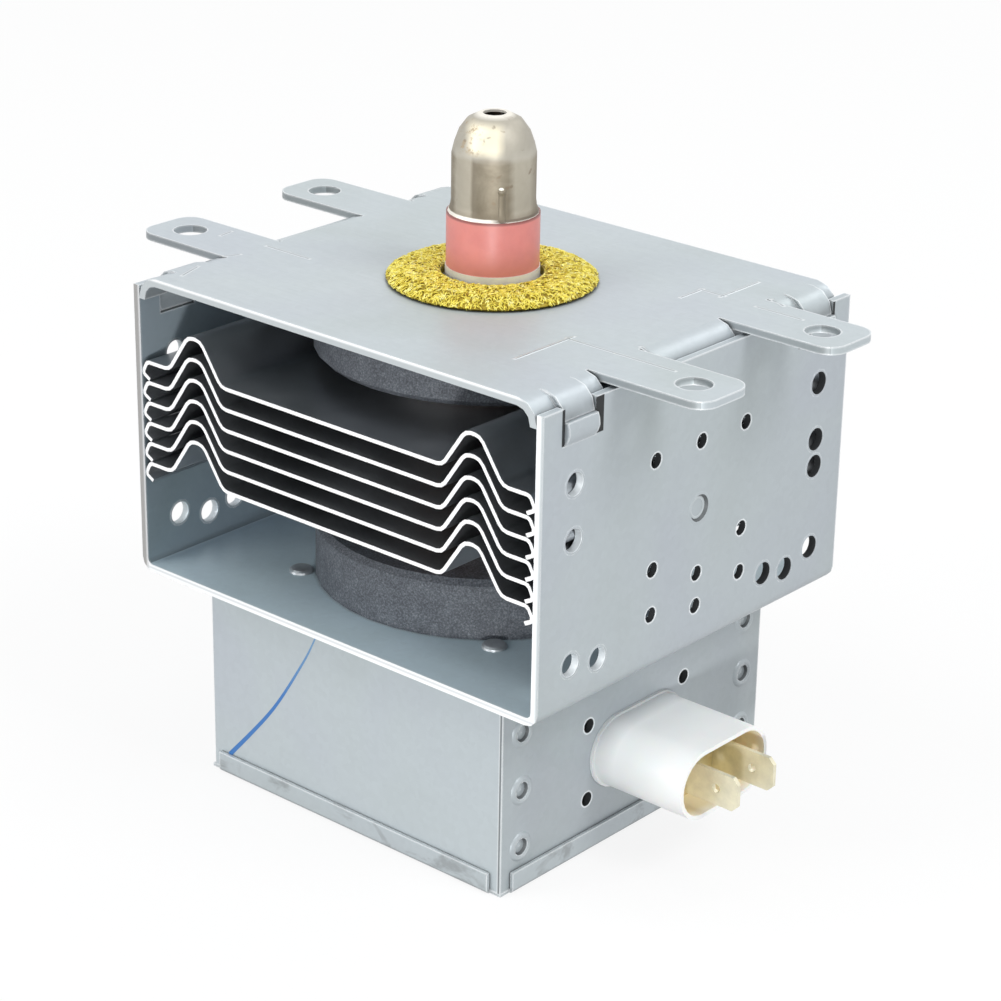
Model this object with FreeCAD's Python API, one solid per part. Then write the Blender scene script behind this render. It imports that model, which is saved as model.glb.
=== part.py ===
"""Microwave-oven magnetron with its magnetic yoke, cooling fins and filter box.

Millimetres, +Z up. The origin is the centre of the four mounting-lug holes, on the top
face of the yoke plate, which is also the axis of the antenna. The open ends of the yoke
face -Y and +Y, and the high-voltage tabs leave the filter box along +X.
"""
import FreeCAD, Part
import math
import os

Vector = FreeCAD.Vector
X_AXIS = Vector(1, 0, 0)
Y_AXIS = Vector(0, 1, 0)
Z_AXIS = Vector(0, 0, 1)
CENTRE = Vector(0, 0, 0)

# How many flat sides round forms have, and the largest turn from chord to chord of a bend.
# Bends tighter than the crisp radius have one chord.
BEND_STEP = 36.0
CRISP_RADIUS = 0.6
WIRE_SIDES = 4
LEAD_SIDES = 6
RIVET_SIDES = 8
SMALL_HOLE_SIDES = 8
LARGE_HOLE_SIDES = 10
INNER_SIDES = 16
LATHE_SIDES = 24
ANODE_SIDES = 24
SHELL_SIDES = 28
GASKET_SIDES = 30
MAGNET_SIDES = 36

# Yoke: one folded U of steel sheet
YOKE_WIDTH = 94.5
YOKE_DEPTH = 82.7
YOKE_HEIGHT = 56.5
YOKE_SHEET = 1.4
YOKE_BEND_INSIDE = 1.1
WALL_TOP_DROP = 2.0

# Yoke plate with its four mounting lugs
PLATE_SHEET = 1.4
PLATE_BACK_SETBACK = 2.2
PLATE_ROLL = 4.2
PLATE_FLANGE = 0.15
ROLL_LAND = 0.05
LUG_HOLE_PITCH_X = 116.4
LUG_HOLE_PITCH_Y = 34.9
LUG_HOLE_RADIUS = 3.05
LUG_WIDTH = 13.1
LUG_END_MARGIN = 7.0
LUG_CORNER = 3.6
LUG_SLIT = 0.5

# Lanced corner joints that lock the plate to the walls
LANCE_CENTRE_FROM_EDGE = 9.0
LANCE_WIDTH = 8.2
LANCE_HEIGHT = 4.0
LANCE_BULGE = 1.3
LANCE_TIP_OUT = 0.6
LANCE_BEND = 1.9
LANCE_GAP = 0.35
LANCE_STEP = 1.25

# Punched holes of a wall: drops are from the plate's top face, heights from the underside of
# the floor, and the pairs of the low row are distances from the wall's end with heights
SMALL_HOLE_RADIUS = 1.5
SMALL_HOLE_SPACING = 12.3
SMALL_HOLE_TOP_DROP = 17.7
SMALL_HOLE_SIDE_HEIGHTS = (19.1, 10.8)
SMALL_HOLE_CENTRE_HEIGHTS = (14.5, 8.4)
LARGE_HOLE_RADIUS = 2.35
LARGE_HOLE_END_MARGIN = 8.1
LARGE_HOLE_FRONT_DROPS = (15.6, 25.4)
LARGE_HOLE_BACK_DROPS = (16.3, 26.9, 32.0)
LARGE_HOLE_LOW_HEIGHT = 8.9
LARGE_HOLE_ROW_FRONT = ((15.15, 7.6),)
LARGE_HOLE_ROW_BACK = ((21.95, 8.2), (15.45, 7.0))
RECESS_RADIUS = 2.6
RECESS_DROP = 29.9
RECESS_DEPTH = 0.5

# Antenna
SLEEVE_RADIUS = 8.35
SLEEVE_WALL = 0.6
SLEEVE_TOP = 2.8
INSULATOR_RADIUS = 8.2
INSULATOR_BORE_RADIUS = 5.0
INSULATOR_HEIGHT = 9.6
CAP_RADIUS = 7.4
CAP_WALL = 0.45
CAP_LIP_FLARE = 0.6
CAP_LIP_HEIGHT = 2.2
CAP_HEIGHT = 17.4
CAP_NOSE = ((0.0, 6.9), (0.4, 5.2), (1.2, 3.0), (2.6, 1.1), (4.7, 0.0))
CAP_HOLE_RADIUS = 2.05
SEAL_CUP_RADIUS = 6.9
SEAL_CUP_WALL = 0.4
SEAL_CUP_HEIGHT = 3.2
EXHAUST_RADIUS = 3.0
EXHAUST_WALL = 0.8
EXHAUST_ROUND_HEIGHT = 8.0
EXHAUST_PINCH_LENGTH = 4.0
EXHAUST_PINCH_WIDTH = 7.2
EXHAUST_PINCH_THICKNESS = 2.4
LEAD_RADIUS = 0.95
LEAD_CLEARANCE = 0.8
LEAD_SLEEVE_GAP = 1.2
LEAD_FOOT_RADIUS = 11.05
LEAD_RISE = 3.0
LEAD_CROSSING = 7.0
LEAD_BENDS = (2.5, 4.0, 3.0)

# Gasket of knitted wire round the antenna, domed and highest near its inner edge
GASKET_OUTER_RADIUS = 18.7
GASKET_INNER_RADIUS = 9.05
GASKET_HEIGHT = 1.9
GASKET_EDGE_HEIGHT = 0.5
GASKET_UNDERCUT = 0.7
GASKET_CROWN = ((8.45, 1.2), (6.4, GASKET_HEIGHT), (0.8, GASKET_HEIGHT), (0.0, 1.5))
PLATE_BORE_CLEARANCE = 0.35

# Ring magnets
MAGNET_RADIUS = 31.4
MAGNET_BORE_RADIUS = 10.0
MAGNET_HEIGHT = 11.0
MAGNET_CHAMFER = 1.0

# Anode
ANODE_RADIUS = 20.0
ANODE_WALL = 2.7
VANE_COUNT = 10
VANE_THICKNESS = 1.9
VANE_HEIGHT = 9.5
VANE_TIP_RADIUS = 4.55
STRAP_INNER_RADIUS = 6.2
STRAP_OUTER_RADIUS = 7.9
STRAP_WIDTH = 0.8
STRAP_HEIGHT = 1.0
STRAP_DEPTH = 1.3
STRAP_CLEARANCE = 0.45

# Pole pieces and the shells that seal the ends of the anode
POLE_RADIUS = 19.4
POLE_SHEET = 1.6
POLE_CONE_RADIUS = 13.5
POLE_TIP_RADIUS = 7.6
POLE_HOLE_RADIUS = 4.7
POLE_CONE_DEPTH = 5.6
SHELL_SHEET = 0.6

# Cathode
FILAMENT_RADIUS = 1.95
FILAMENT_WIRE = 0.25
FILAMENT_TURNS = 7
FILAMENT_LENGTH = 10.0
FILAMENT_LEAD = 0.8
FILAMENT_STEPS = 6
HAT_RADIUS = 3.6
HAT_THICKNESS = 0.9
ROD_RADIUS = 0.6
ROD_SIDES = 8
SIDE_ROD_OFFSET = 2.6
ROD_CLEARANCE = 0.1

# Cooling fins
FIN_COUNT = 6
FIN_SHEET = 0.7
FIN_TOP_DROP = 15.6
FIN_PITCH = 3.86
FIN_HUMP_HEIGHT = 7.2
FIN_HUMP_CENTRE = 32.35
FIN_HUMP_HALF_TOP = 1.55
FIN_HUMP_HALF_FOOT = 6.55
FIN_LIP_SHOULDER = 0.9
FIN_LIP_NOSE_TOP = 1.7
FIN_LIP_NOSE = 0.7
FIN_LIP_DROP = 3.2
FIN_LIP_RETURN = 1.5
FIN_BENDS = (2.2, 2.2, 2.2, 2.2, 0.9, 0.5, 0.5)
FIN_DEPTH_SETBACK = 0.2
FIN_MAGNET_GAP = 0.5

# Stem under the lower magnet
LOWER_SLEEVE_DROP = 8.0
STEM_LENGTH = 12.0
STEM_OVERLAP = 3.0
STEM_CLEARANCE = 0.04
TERMINAL_SHEET = 0.8
TERMINAL_WIDTH = 3.0
TERMINAL_EYE = 0.5

# Filter box
BOX_WIDTH = 71.0
BOX_DEPTH = 72.2
BOX_HEIGHT = 37.7
BOX_SHEET = 0.6
BOX_BEND = 1.2
BOX_FLANGE = 8.6
BOX_STEM_CLEARANCE = 0.9
PANEL_SHEET = 0.6
PANEL_TOP_GAP = 0.1
PANEL_CLINCH_FROM_EDGE = 5.0
PANEL_CLINCH_TOP_DROP = 8.5
PANEL_CLINCH_SPACING = 10.9
PANEL_CLINCH_COUNT = 3
CLINCH_RADIUS = 1.7
CLINCH_RIM_RADIUS = 2.7
CLINCH_RIM_HEIGHT = 0.3
CLINCH_RIM_TOP = 0.2
CLINCH_DEPTH = 0.4
LID_SHEET = 0.6
LID_FLANGE = 4.0
LID_CLEARANCE = 0.15
LID_NOTCH = 2.4
LID_LAP = 2.0
RIVET_SPACING_X = 46.6
RIVET_SPACING_Y = 49.2
RIVET_RADIUS = 1.5
RIVET_HEAD_RADIUS = 2.3
RIVET_HEAD_HEIGHT = 0.8
RIVET_TAIL_HEIGHT = 0.6
RIVET_DOME = (0.88, 0.65)

# Feed-through capacitor with its tabs
TAB_PITCH = 10.2
TAB_WIDTH = 6.35
TAB_THICKNESS = 0.8
TAB_REACH = 7.0
TAB_TAPER = 1.1
TAB_HOLE_RADIUS = 0.85
TAB_HOLE_FROM_END = 4.6
TAB_TAIL = 1.8
CAPACITOR_DROP = 21.0
SHELL_HEIGHT = 13.0
SHELL_ARC_PITCH = 11.6
SHELL_LENGTH = 19.8
SHELL_WALL = 0.8
SHELL_RIM_WIDTH = 0.45
SHELL_RIM_THICKNESS = 0.6
SHELL_RECESS = 6.3
CAP_CERAMIC_LENGTH = 7.0
CAP_CERAMIC_GAP = 0.3
CAP_PLATE_SHEET = 0.8
CAP_PLATE_WIDTH = 33.0
CAP_PLATE_HEIGHT = 20.5
CAP_PLATE_CORNER = 3.0
CAP_PLATE_CLEARANCE = 0.9
CAP_HOLE_PITCH_Y = 26.6
CAP_HOLE_PITCH_Z = 14.4
CAP_SCREW_HOLE_RADIUS = 1.45
INNER_SHELL_LENGTH = 10.0
TAB_SLOT_CLEARANCE = 0.05

# Chokes between the stem and the capacitor
CHOKE_WIRE_RADIUS = 0.7
CHOKE_CORE_RADIUS = 2.5
CHOKE_CORE_LENGTH = 17.0
CHOKE_WIRE_GAP = 0.15
CHOKE_TURNS = 5
CHOKE_PITCH = 2.3
CHOKE_STEPS = 8

# Places that follow from the sizes above
FLOOR_BOTTOM = -YOKE_HEIGHT
FLOOR_TOP = FLOOR_BOTTOM + YOKE_SHEET
WALL_OUT = YOKE_WIDTH / 2
WALL_IN = WALL_OUT - YOKE_SHEET
YOKE_FRONT = -YOKE_DEPTH / 2
YOKE_BACK = YOKE_DEPTH / 2
PLATE_BACK = YOKE_BACK - PLATE_BACK_SETBACK
LANCE_SEAT = -PLATE_ROLL - PLATE_FLANGE
LANCE_FOOT = LANCE_SEAT - LANCE_HEIGHT
UPPER_MAGNET_BOTTOM = -PLATE_SHEET - MAGNET_HEIGHT
LOWER_MAGNET_TOP = FLOOR_TOP + MAGNET_HEIGHT
ANODE_TOP = UPPER_MAGNET_BOTTOM - SHELL_SHEET - POLE_SHEET
ANODE_BOTTOM = LOWER_MAGNET_TOP + SHELL_SHEET + POLE_SHEET
ANODE_MIDDLE = (ANODE_TOP + ANODE_BOTTOM) / 2
ANODE_BORE = ANODE_RADIUS - ANODE_WALL
VANE_TOP = ANODE_MIDDLE + VANE_HEIGHT / 2
VANE_BOTTOM = ANODE_MIDDLE - VANE_HEIGHT / 2
STRAP_SIDES = VANE_COUNT
FILAMENT_TOP = ANODE_MIDDLE + FILAMENT_LENGTH / 2
FILAMENT_BOTTOM = ANODE_MIDDLE - FILAMENT_LENGTH / 2
INSULATOR_TOP = SLEEVE_TOP + INSULATOR_HEIGHT
STEM_TOP = FLOOR_BOTTOM - LOWER_SLEEVE_DROP + STEM_OVERLAP
STEM_BOTTOM = STEM_TOP - STEM_LENGTH
BOX_TOP = FLOOR_BOTTOM
BOX_BOTTOM = BOX_TOP - BOX_HEIGHT
BOX_LEFT = -BOX_WIDTH / 2
PANEL_OUT = BOX_WIDTH / 2
PANEL_IN = PANEL_OUT - PANEL_SHEET
CAPACITOR_Z = BOX_TOP - CAPACITOR_DROP
SHELL_MOUTH = PANEL_OUT + SHELL_LENGTH
TAB_END = SHELL_MOUTH + TAB_REACH
PLATE_IN = PANEL_IN - CAP_PLATE_SHEET
INNER_SHELL_END = PLATE_IN - INNER_SHELL_LENGTH
TAB_INNER_END = INNER_SHELL_END - TAB_TAIL
CHOKE_COIL_RADIUS = CHOKE_CORE_RADIUS + CHOKE_WIRE_GAP + CHOKE_WIRE_RADIUS
CHOKE_Y = TAB_PITCH / 2 + CHOKE_COIL_RADIUS
CHOKE_END = TAB_INNER_END - 2 * CHOKE_WIRE_RADIUS
CHOKE_START = CHOKE_END - CHOKE_TURNS * CHOKE_PITCH


# Shared shapes

def box(low, high):
    """A block between two corners."""
    size = Vector(*high) - Vector(*low)
    return Part.makeBox(size.x, size.y, size.z, Vector(*low))


def disc(radius, bottom, top, x=0.0, y=0.0):
    """An upright cylinder between two heights."""
    return Part.makeCylinder(radius, top - bottom, Vector(x, y, bottom), Z_AXIS)


def unit(start, end):
    """The direction from one plane point to another."""
    length = math.hypot(end[0] - start[0], end[1] - start[1])
    return ((end[0] - start[0]) / length, (end[1] - start[1]) / length)


def offset_corners(points, distance):
    """The corners of a plane path moved sideways, to the left of its travel."""
    normals = []
    for start, end in zip(points, points[1:]):
        along = unit(start, end)
        normals.append((-along[1], along[0]))
    moved = [(points[0][0] + distance * normals[0][0], points[0][1] + distance * normals[0][1])]
    for corner, before, after in zip(points[1:-1], normals, normals[1:]):
        scale = distance / (1 + before[0] * after[0] + before[1] * after[1])
        moved.append((corner[0] + scale * (before[0] + after[0]),
                      corner[1] + scale * (before[1] + after[1])))
    moved.append((points[-1][0] + distance * normals[-1][0],
                  points[-1][1] + distance * normals[-1][1]))
    return moved


def turn_sign(before, corner, after):
    """Plus one where a plane path turns left, minus one where it turns right."""
    first = unit(before, corner)
    second = unit(corner, after)
    return 1.0 if first[0] * second[1] - first[1] * second[0] > 0 else -1.0


def rounded_points(points, radii):
    """A plane path with each inner corner rounded by short chords of its own radius."""
    result = [points[0]]
    for before, corner, after, radius in zip(points, points[1:], points[2:], radii):
        back = unit(corner, before)
        ahead = unit(corner, after)
        half = math.acos(max(-1.0, min(1.0, back[0] * ahead[0] + back[1] * ahead[1]))) / 2
        middle = unit((0.0, 0.0), (back[0] + ahead[0], back[1] + ahead[1]))
        reach = radius / math.sin(half)
        centre = (corner[0] + middle[0] * reach, corner[1] + middle[1] * reach)
        cut = radius / math.tan(half)
        first = math.atan2(corner[1] + back[1] * cut - centre[1], corner[0] + back[0] * cut - centre[0])
        last = math.atan2(corner[1] + ahead[1] * cut - centre[1], corner[0] + ahead[0] * cut - centre[0])
        turn = math.remainder(last - first, 2 * math.pi)
        chords = 1 if radius < CRISP_RADIUS else math.ceil(abs(turn) / math.radians(BEND_STEP) - 0.01)
        for step in range(chords + 1):
            angle = first + turn * step / chords
            result.append((centre[0] + radius * math.cos(angle), centre[1] + radius * math.sin(angle)))
    result.append(points[-1])
    return result


def strip_outline(points, radii, thickness):
    """The outline of a bent strip of sheet, seen edge on. The radii are those of its middle line."""
    signs = [turn_sign(*three) for three in zip(points, points[1:], points[2:])]
    half = thickness / 2
    left_radii = [radius - half * sign for radius, sign in zip(radii, signs)]
    right_radii = [radius + half * sign for radius, sign in zip(radii, signs)]
    left = rounded_points(offset_corners(points, half), left_radii)
    right = rounded_points(offset_corners(points, -half), right_radii)
    return left + right[::-1]


def flat_face(corners):
    """A plane face from its corners."""
    return Part.Face(Part.makePolygon(corners + [corners[0]]))


def strip_face(points, radii, thickness, place):
    """A bent strip of sheet as a plane face."""
    return flat_face([place(point) for point in strip_outline(points, radii, thickness)])


def seen_from_front(point):
    """Puts a plane point in the XZ plane at the front of the yoke."""
    return Vector(point[0], YOKE_FRONT, point[1])


def seen_in_section(point):
    """Puts a plane point in the half section through the axis."""
    return Vector(point[0], 0, point[1])


def closed_solid(faces):
    """A solid inside faces that close round it."""
    solid = Part.Solid(Part.Shell(faces))
    if solid.Volume < 0:
        solid.reverse()
    return solid


def lathe(points, sides, turn=0.0):
    """A ring about the axis from an outline of radius and height pairs, with flat sides."""
    rings = []
    for radius, height in points:
        loop = []
        for step in range(sides + 1):
            angle = 2 * math.pi * (step % sides + turn) / sides
            loop.append(Vector(radius * math.cos(angle), radius * math.sin(angle), height))
        rings.append(loop)
    faces = []
    for low, high in zip(rings, rings[1:] + rings[:1]):
        for step in range(sides):
            faces.append(flat_face([low[step], low[step + 1], high[step + 1], high[step]]))
    return closed_solid(faces).removeSplitter()


def turned_rod(levels, sides):
    """A rod about the axis from radius and height pairs, with flat ends and flat sides."""
    rings = []
    for radius, height in levels:
        loop = []
        for step in range(sides + 1):
            angle = 2 * math.pi * (step % sides) / sides
            loop.append(Vector(radius * math.cos(angle), radius * math.sin(angle), height))
        rings.append(loop)
    faces = [flat_face(rings[0][:-1]), flat_face(rings[-1][:-1])]
    for low, high in zip(rings, rings[1:]):
        for step in range(sides):
            faces.append(flat_face([low[step], low[step + 1], high[step + 1], high[step]]))
    return closed_solid(faces).removeSplitter()


def lathe_sheet(points, thickness, sides):
    """A spun or drawn cup with crisp bends, from the middle line of its wall."""
    half = thickness / 2
    return lathe(offset_corners(points, half) + offset_corners(points, -half)[::-1], sides)


def prism(radius, bottom, top, sides, x=0.0, y=0.0, turn=0.0):
    """An upright many-sided rod between two heights."""
    corners = []
    for step in range(sides):
        angle = 2 * math.pi * (step + turn) / sides
        corners.append(Vector(x + radius * math.cos(angle), y + radius * math.sin(angle), bottom))
    return flat_face(corners).extrude(Vector(0, 0, top - bottom))


def side_prism(radius, start, end, sides, y, z):
    """A many-sided rod along X between two distances."""
    corners = []
    for step in range(sides):
        angle = 2 * math.pi * (step + 0.5) / sides
        corners.append(Vector(start, y + radius * math.cos(angle), z + radius * math.sin(angle)))
    return flat_face(corners).extrude(Vector(end - start, 0, 0))


def bent_wire(points, radius, sides):
    """A wire along short straight runs."""
    rings = []
    normal = None
    for index, point in enumerate(points):
        before = points[max(index - 1, 0)]
        after = points[min(index + 1, len(points) - 1)]
        along = ((after - point).normalize() if after != point else Vector()) + (
            (point - before).normalize() if before != point else Vector())
        along.normalize()
        if normal is None:
            normal = along.cross(Z_AXIS if abs(along.z) < 0.9 else Y_AXIS)
        normal = (normal - along * normal.dot(along)).normalize()
        side = along.cross(normal)
        loop = []
        for step in range(sides + 1):
            angle = 2 * math.pi * (step % sides + 0.5) / sides
            loop.append(point + normal * (radius * math.cos(angle)) + side * (radius * math.sin(angle)))
        rings.append(loop)
    faces = [flat_face(rings[0][:-1]), flat_face(rings[-1][:-1])]
    for low, high in zip(rings, rings[1:]):
        for step in range(sides):
            faces.append(flat_face([low[step], low[step + 1], high[step + 1]]))
            faces.append(flat_face([low[step], high[step + 1], high[step]]))
    return closed_solid(faces)


def half_turned(shape):
    """The same shape turned half a turn about the axis."""
    copy = shape.copy()
    copy.rotate(CENTRE, Z_AXIS, 180)
    return copy


def mirrored(shape, normal):
    """The mirror image of a shape in a plane through the axis."""
    return shape.mirror(CENTRE, normal)


def four_corners(shape):
    """A shape and its images in the planes across X and Y."""
    pair = [shape, mirrored(shape, X_AXIS)]
    return pair + [mirrored(one, Y_AXIS) for one in pair]


def stadium(radius, start, end, sides=SHELL_SIDES):
    """A rod along X with round ends, as high as twice the radius, centred on the tabs.

    Each round end is made of half as many short chords as there are sides.
    """
    half = SHELL_ARC_PITCH / 2
    corners = []
    for centre, first in ((half, -90), (-half, 90)):
        for step in range(sides // 2 + 1):
            angle = math.radians(first + 360 * step / sides)
            y = centre + radius * math.cos(angle)
            corners.append(Vector(start, y, CAPACITOR_Z + radius * math.sin(angle)))
    return flat_face(corners).extrude(Vector(end - start, 0, 0))


def cut_all(shape, tools):
    """Cuts a list of tools from a shape."""
    return shape.cut(tools).removeSplitter()


def join_all(shape, others):
    """Joins a list of touching shapes to a shape."""
    return shape.fuse(others).removeSplitter()


# Yoke

def lance_side():
    """Where the lanced window of a back corner starts and ends along the wall."""
    centre = YOKE_BACK - LANCE_CENTRE_FROM_EDGE
    return centre - LANCE_WIDTH / 2, centre + LANCE_WIDTH / 2


def lance_window():
    """The opening in the right wall at the back, from its top edge down."""
    near, far = lance_side()
    return box((WALL_IN - 1, near, LANCE_FOOT), (WALL_OUT + 1, far, 0))


def lance_tongue():
    """The tongue of the wall that is pressed out under the window, and carries the plate."""
    near, far = lance_side()
    half = YOKE_SHEET / 2
    middle = WALL_IN + half
    path = [
        (middle, LANCE_FOOT),
        (middle + LANCE_BULGE, (LANCE_FOOT + LANCE_SEAT) / 2),
        (middle + LANCE_TIP_OUT, LANCE_SEAT),
    ]
    outline = strip_outline(path, (LANCE_BEND,), YOKE_SHEET)
    face = flat_face([Vector(x, near + LANCE_GAP, z) for x, z in outline])
    tongue = face.extrude(Vector(0, far - near - 2 * LANCE_GAP, 0))
    keep = box((WALL_IN - 1, near, LANCE_FOOT), (WALL_OUT + 3, far, LANCE_SEAT))
    return tongue.common(keep)


def wall_hole(y, z, radius):
    """A punch through the right wall."""
    sides = SMALL_HOLE_SIDES if radius == SMALL_HOLE_RADIUS else LARGE_HOLE_SIDES
    return side_prism(radius, WALL_IN - 1, WALL_OUT + 1, sides, y, z)


def wall_punches():
    """All punched holes of the right wall. The left wall has them turned half round."""
    punches = []
    for column in (-1, 0, 1):
        punches.append(wall_hole(column * SMALL_HOLE_SPACING, -SMALL_HOLE_TOP_DROP, SMALL_HOLE_RADIUS))
    for height in SMALL_HOLE_SIDE_HEIGHTS:
        for column in (-1, 1):
            punches.append(wall_hole(column * SMALL_HOLE_SPACING, FLOOR_BOTTOM + height, SMALL_HOLE_RADIUS))
    for height in SMALL_HOLE_CENTRE_HEIGHTS:
        punches.append(wall_hole(0, FLOOR_BOTTOM + height, SMALL_HOLE_RADIUS))
    front = YOKE_FRONT + LARGE_HOLE_END_MARGIN
    back = YOKE_BACK - LARGE_HOLE_END_MARGIN
    for drop in LARGE_HOLE_FRONT_DROPS:
        punches.append(wall_hole(front, -drop, LARGE_HOLE_RADIUS))
    for drop in LARGE_HOLE_BACK_DROPS:
        punches.append(wall_hole(back, -drop, LARGE_HOLE_RADIUS))
    for end in (front, back):
        punches.append(wall_hole(end, FLOOR_BOTTOM + LARGE_HOLE_LOW_HEIGHT, LARGE_HOLE_RADIUS))
    for from_end, height in LARGE_HOLE_ROW_FRONT:
        punches.append(wall_hole(YOKE_FRONT + from_end, FLOOR_BOTTOM + height, LARGE_HOLE_RADIUS))
    for from_end, height in LARGE_HOLE_ROW_BACK:
        punches.append(wall_hole(YOKE_BACK - from_end, FLOOR_BOTTOM + height, LARGE_HOLE_RADIUS))
    return punches


def rivet_places():
    """The four rivets between the yoke's floor and the filter box."""
    for x in (-RIVET_SPACING_X / 2, RIVET_SPACING_X / 2):
        for y in (-RIVET_SPACING_Y / 2, RIVET_SPACING_Y / 2):
            yield x, y


def yoke_bracket():
    half = YOKE_SHEET / 2
    path = [
        (-WALL_OUT + half, -WALL_TOP_DROP),
        (-WALL_OUT + half, FLOOR_BOTTOM + half),
        (WALL_OUT - half, FLOOR_BOTTOM + half),
        (WALL_OUT - half, -WALL_TOP_DROP),
    ]
    bend = YOKE_BEND_INSIDE + half
    body = strip_face(path, (bend, bend), YOKE_SHEET, seen_from_front).extrude(Vector(0, YOKE_DEPTH, 0))
    punches = wall_punches()
    tools = punches + [half_turned(punch) for punch in punches]
    tools += four_corners(lance_window())
    sleeve_hole = SLEEVE_RADIUS + PLATE_BORE_CLEARANCE
    tools.append(prism(sleeve_hole, FLOOR_BOTTOM - 1, FLOOR_TOP + 1, LATHE_SIDES))
    for x, y in rivet_places():
        tools.append(prism(RIVET_RADIUS, FLOOR_BOTTOM - 1, FLOOR_TOP + 1, SMALL_HOLE_SIDES, x, y))
    tools.append(side_prism(RECESS_RADIUS, WALL_OUT - RECESS_DEPTH, WALL_OUT + 1, LARGE_HOLE_SIDES,
                            0, -RECESS_DROP))
    return join_all(cut_all(body, tools), four_corners(lance_tongue()))


def plate_roll(start, end, out):
    """A stretch of the plate's right edge, from its flat part out to a distance and down."""
    half = PLATE_SHEET / 2
    path = [(WALL_IN - PLATE_ROLL, -half), (out - half, -half), (out - half, LANCE_SEAT)]
    strip = strip_face(path, (PLATE_ROLL - half - ROLL_LAND,), PLATE_SHEET, seen_in_section)
    strip.translate(Vector(0, start, 0))
    return strip.extrude(Vector(0, end - start, 0))


def lug():
    """The flat mounting lug at the right and back, with rounded outer corners and its hole."""
    centre = LUG_HOLE_PITCH_Y / 2
    tip = LUG_HOLE_PITCH_X / 2 + LUG_END_MARGIN
    half = LUG_WIDTH / 2
    solid = box((WALL_IN - PLATE_ROLL, centre - half, -PLATE_SHEET), (tip, centre + half, 0))
    outer = []
    for edge in solid.Edges:
        upright = abs(edge.tangentAt(edge.FirstParameter).z) > 0.9
        if upright and edge.CenterOfMass.x > tip - 0.1:
            outer.append(edge)
    hole = disc(LUG_HOLE_RADIUS, -PLATE_SHEET - 1, 1, LUG_HOLE_PITCH_X / 2, centre)
    return solid.makeFillet(LUG_CORNER, outer).Solids[0].cut(hole)


def plate_side():
    """Everything along the right edge of the plate: rolled stretches, lugs and lanced tabs."""
    near, far = lance_side()
    lug_near = (LUG_HOLE_PITCH_Y - LUG_WIDTH) / 2 - LUG_SLIT
    lug_far = (LUG_HOLE_PITCH_Y + LUG_WIDTH) / 2 + LUG_SLIT
    tab_near = near + LANCE_GAP
    tab_far = far - LANCE_GAP
    return [
        plate_roll(YOKE_FRONT, -tab_far, WALL_IN),
        plate_roll(-tab_far, -tab_near, WALL_IN + LANCE_STEP),
        plate_roll(-tab_near, -lug_far, WALL_IN),
        mirrored(lug(), Y_AXIS),
        plate_roll(-lug_near, lug_near, WALL_IN),
        lug(),
        plate_roll(lug_far, tab_near, WALL_IN),
        plate_roll(tab_near, tab_far, WALL_IN + LANCE_STEP),
        plate_roll(tab_far, PLATE_BACK, WALL_IN),
    ]


def yoke_plate():
    half = box((0, YOKE_FRONT, -PLATE_SHEET), (WALL_IN - PLATE_ROLL, PLATE_BACK, 0))
    half = join_all(half, plate_side())
    whole = join_all(half, [mirrored(half, X_AXIS)])
    return whole.cut(prism(SLEEVE_RADIUS + PLATE_BORE_CLEARANCE, -PLATE_SHEET - 1, 1, LATHE_SIDES))


# Antenna

def rf_gasket():
    outline = [
        (GASKET_INNER_RADIUS, 0),
        (GASKET_OUTER_RADIUS - GASKET_UNDERCUT, 0),
        (GASKET_OUTER_RADIUS, GASKET_EDGE_HEIGHT),
    ]
    outline += [(GASKET_INNER_RADIUS + across, rise) for across, rise in GASKET_CROWN]
    return lathe(outline, GASKET_SIDES)


def antenna_cap():
    """A bullet-shaped cap with a flared lip and a hole in its flat top."""
    bottom = INSULATOR_TOP
    top = bottom + CAP_HEIGHT
    outside = [
        (CAP_RADIUS + CAP_LIP_FLARE, bottom),
        (CAP_RADIUS + CAP_LIP_FLARE / 4, bottom + CAP_LIP_HEIGHT / 2),
        (CAP_RADIUS, bottom + CAP_LIP_HEIGHT),
    ]
    outside += [(CAP_RADIUS - inset, top - drop) for inset, drop in CAP_NOSE]
    outside.append((CAP_HOLE_RADIUS, top))
    plain = [outside[0], outside[2], outside[3], outside[5], outside[-2], outside[-1]]
    inside = offset_corners(plain, CAP_WALL)
    inside[0] = (inside[0][0], bottom)
    return lathe(outside + inside[::-1], LATHE_SIDES)


def antenna_insulator():
    body = disc(INSULATOR_RADIUS, SLEEVE_TOP, INSULATOR_TOP)
    return body.cut(prism(INSULATOR_BORE_RADIUS, SLEEVE_TOP, INSULATOR_TOP, INNER_SIDES))


def antenna_seal_cup():
    half = SEAL_CUP_WALL / 2
    path = [
        (SEAL_CUP_RADIUS, INSULATOR_TOP + half),
        (EXHAUST_RADIUS + half, INSULATOR_TOP + half),
        (EXHAUST_RADIUS + half, INSULATOR_TOP + SEAL_CUP_HEIGHT),
    ]
    return lathe_sheet(path, SEAL_CUP_WALL, INNER_SIDES)


def exhaust_top():
    """Where the pinched end of the exhaust tube stops."""
    return INSULATOR_TOP + EXHAUST_ROUND_HEIGHT + EXHAUST_PINCH_LENGTH


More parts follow.
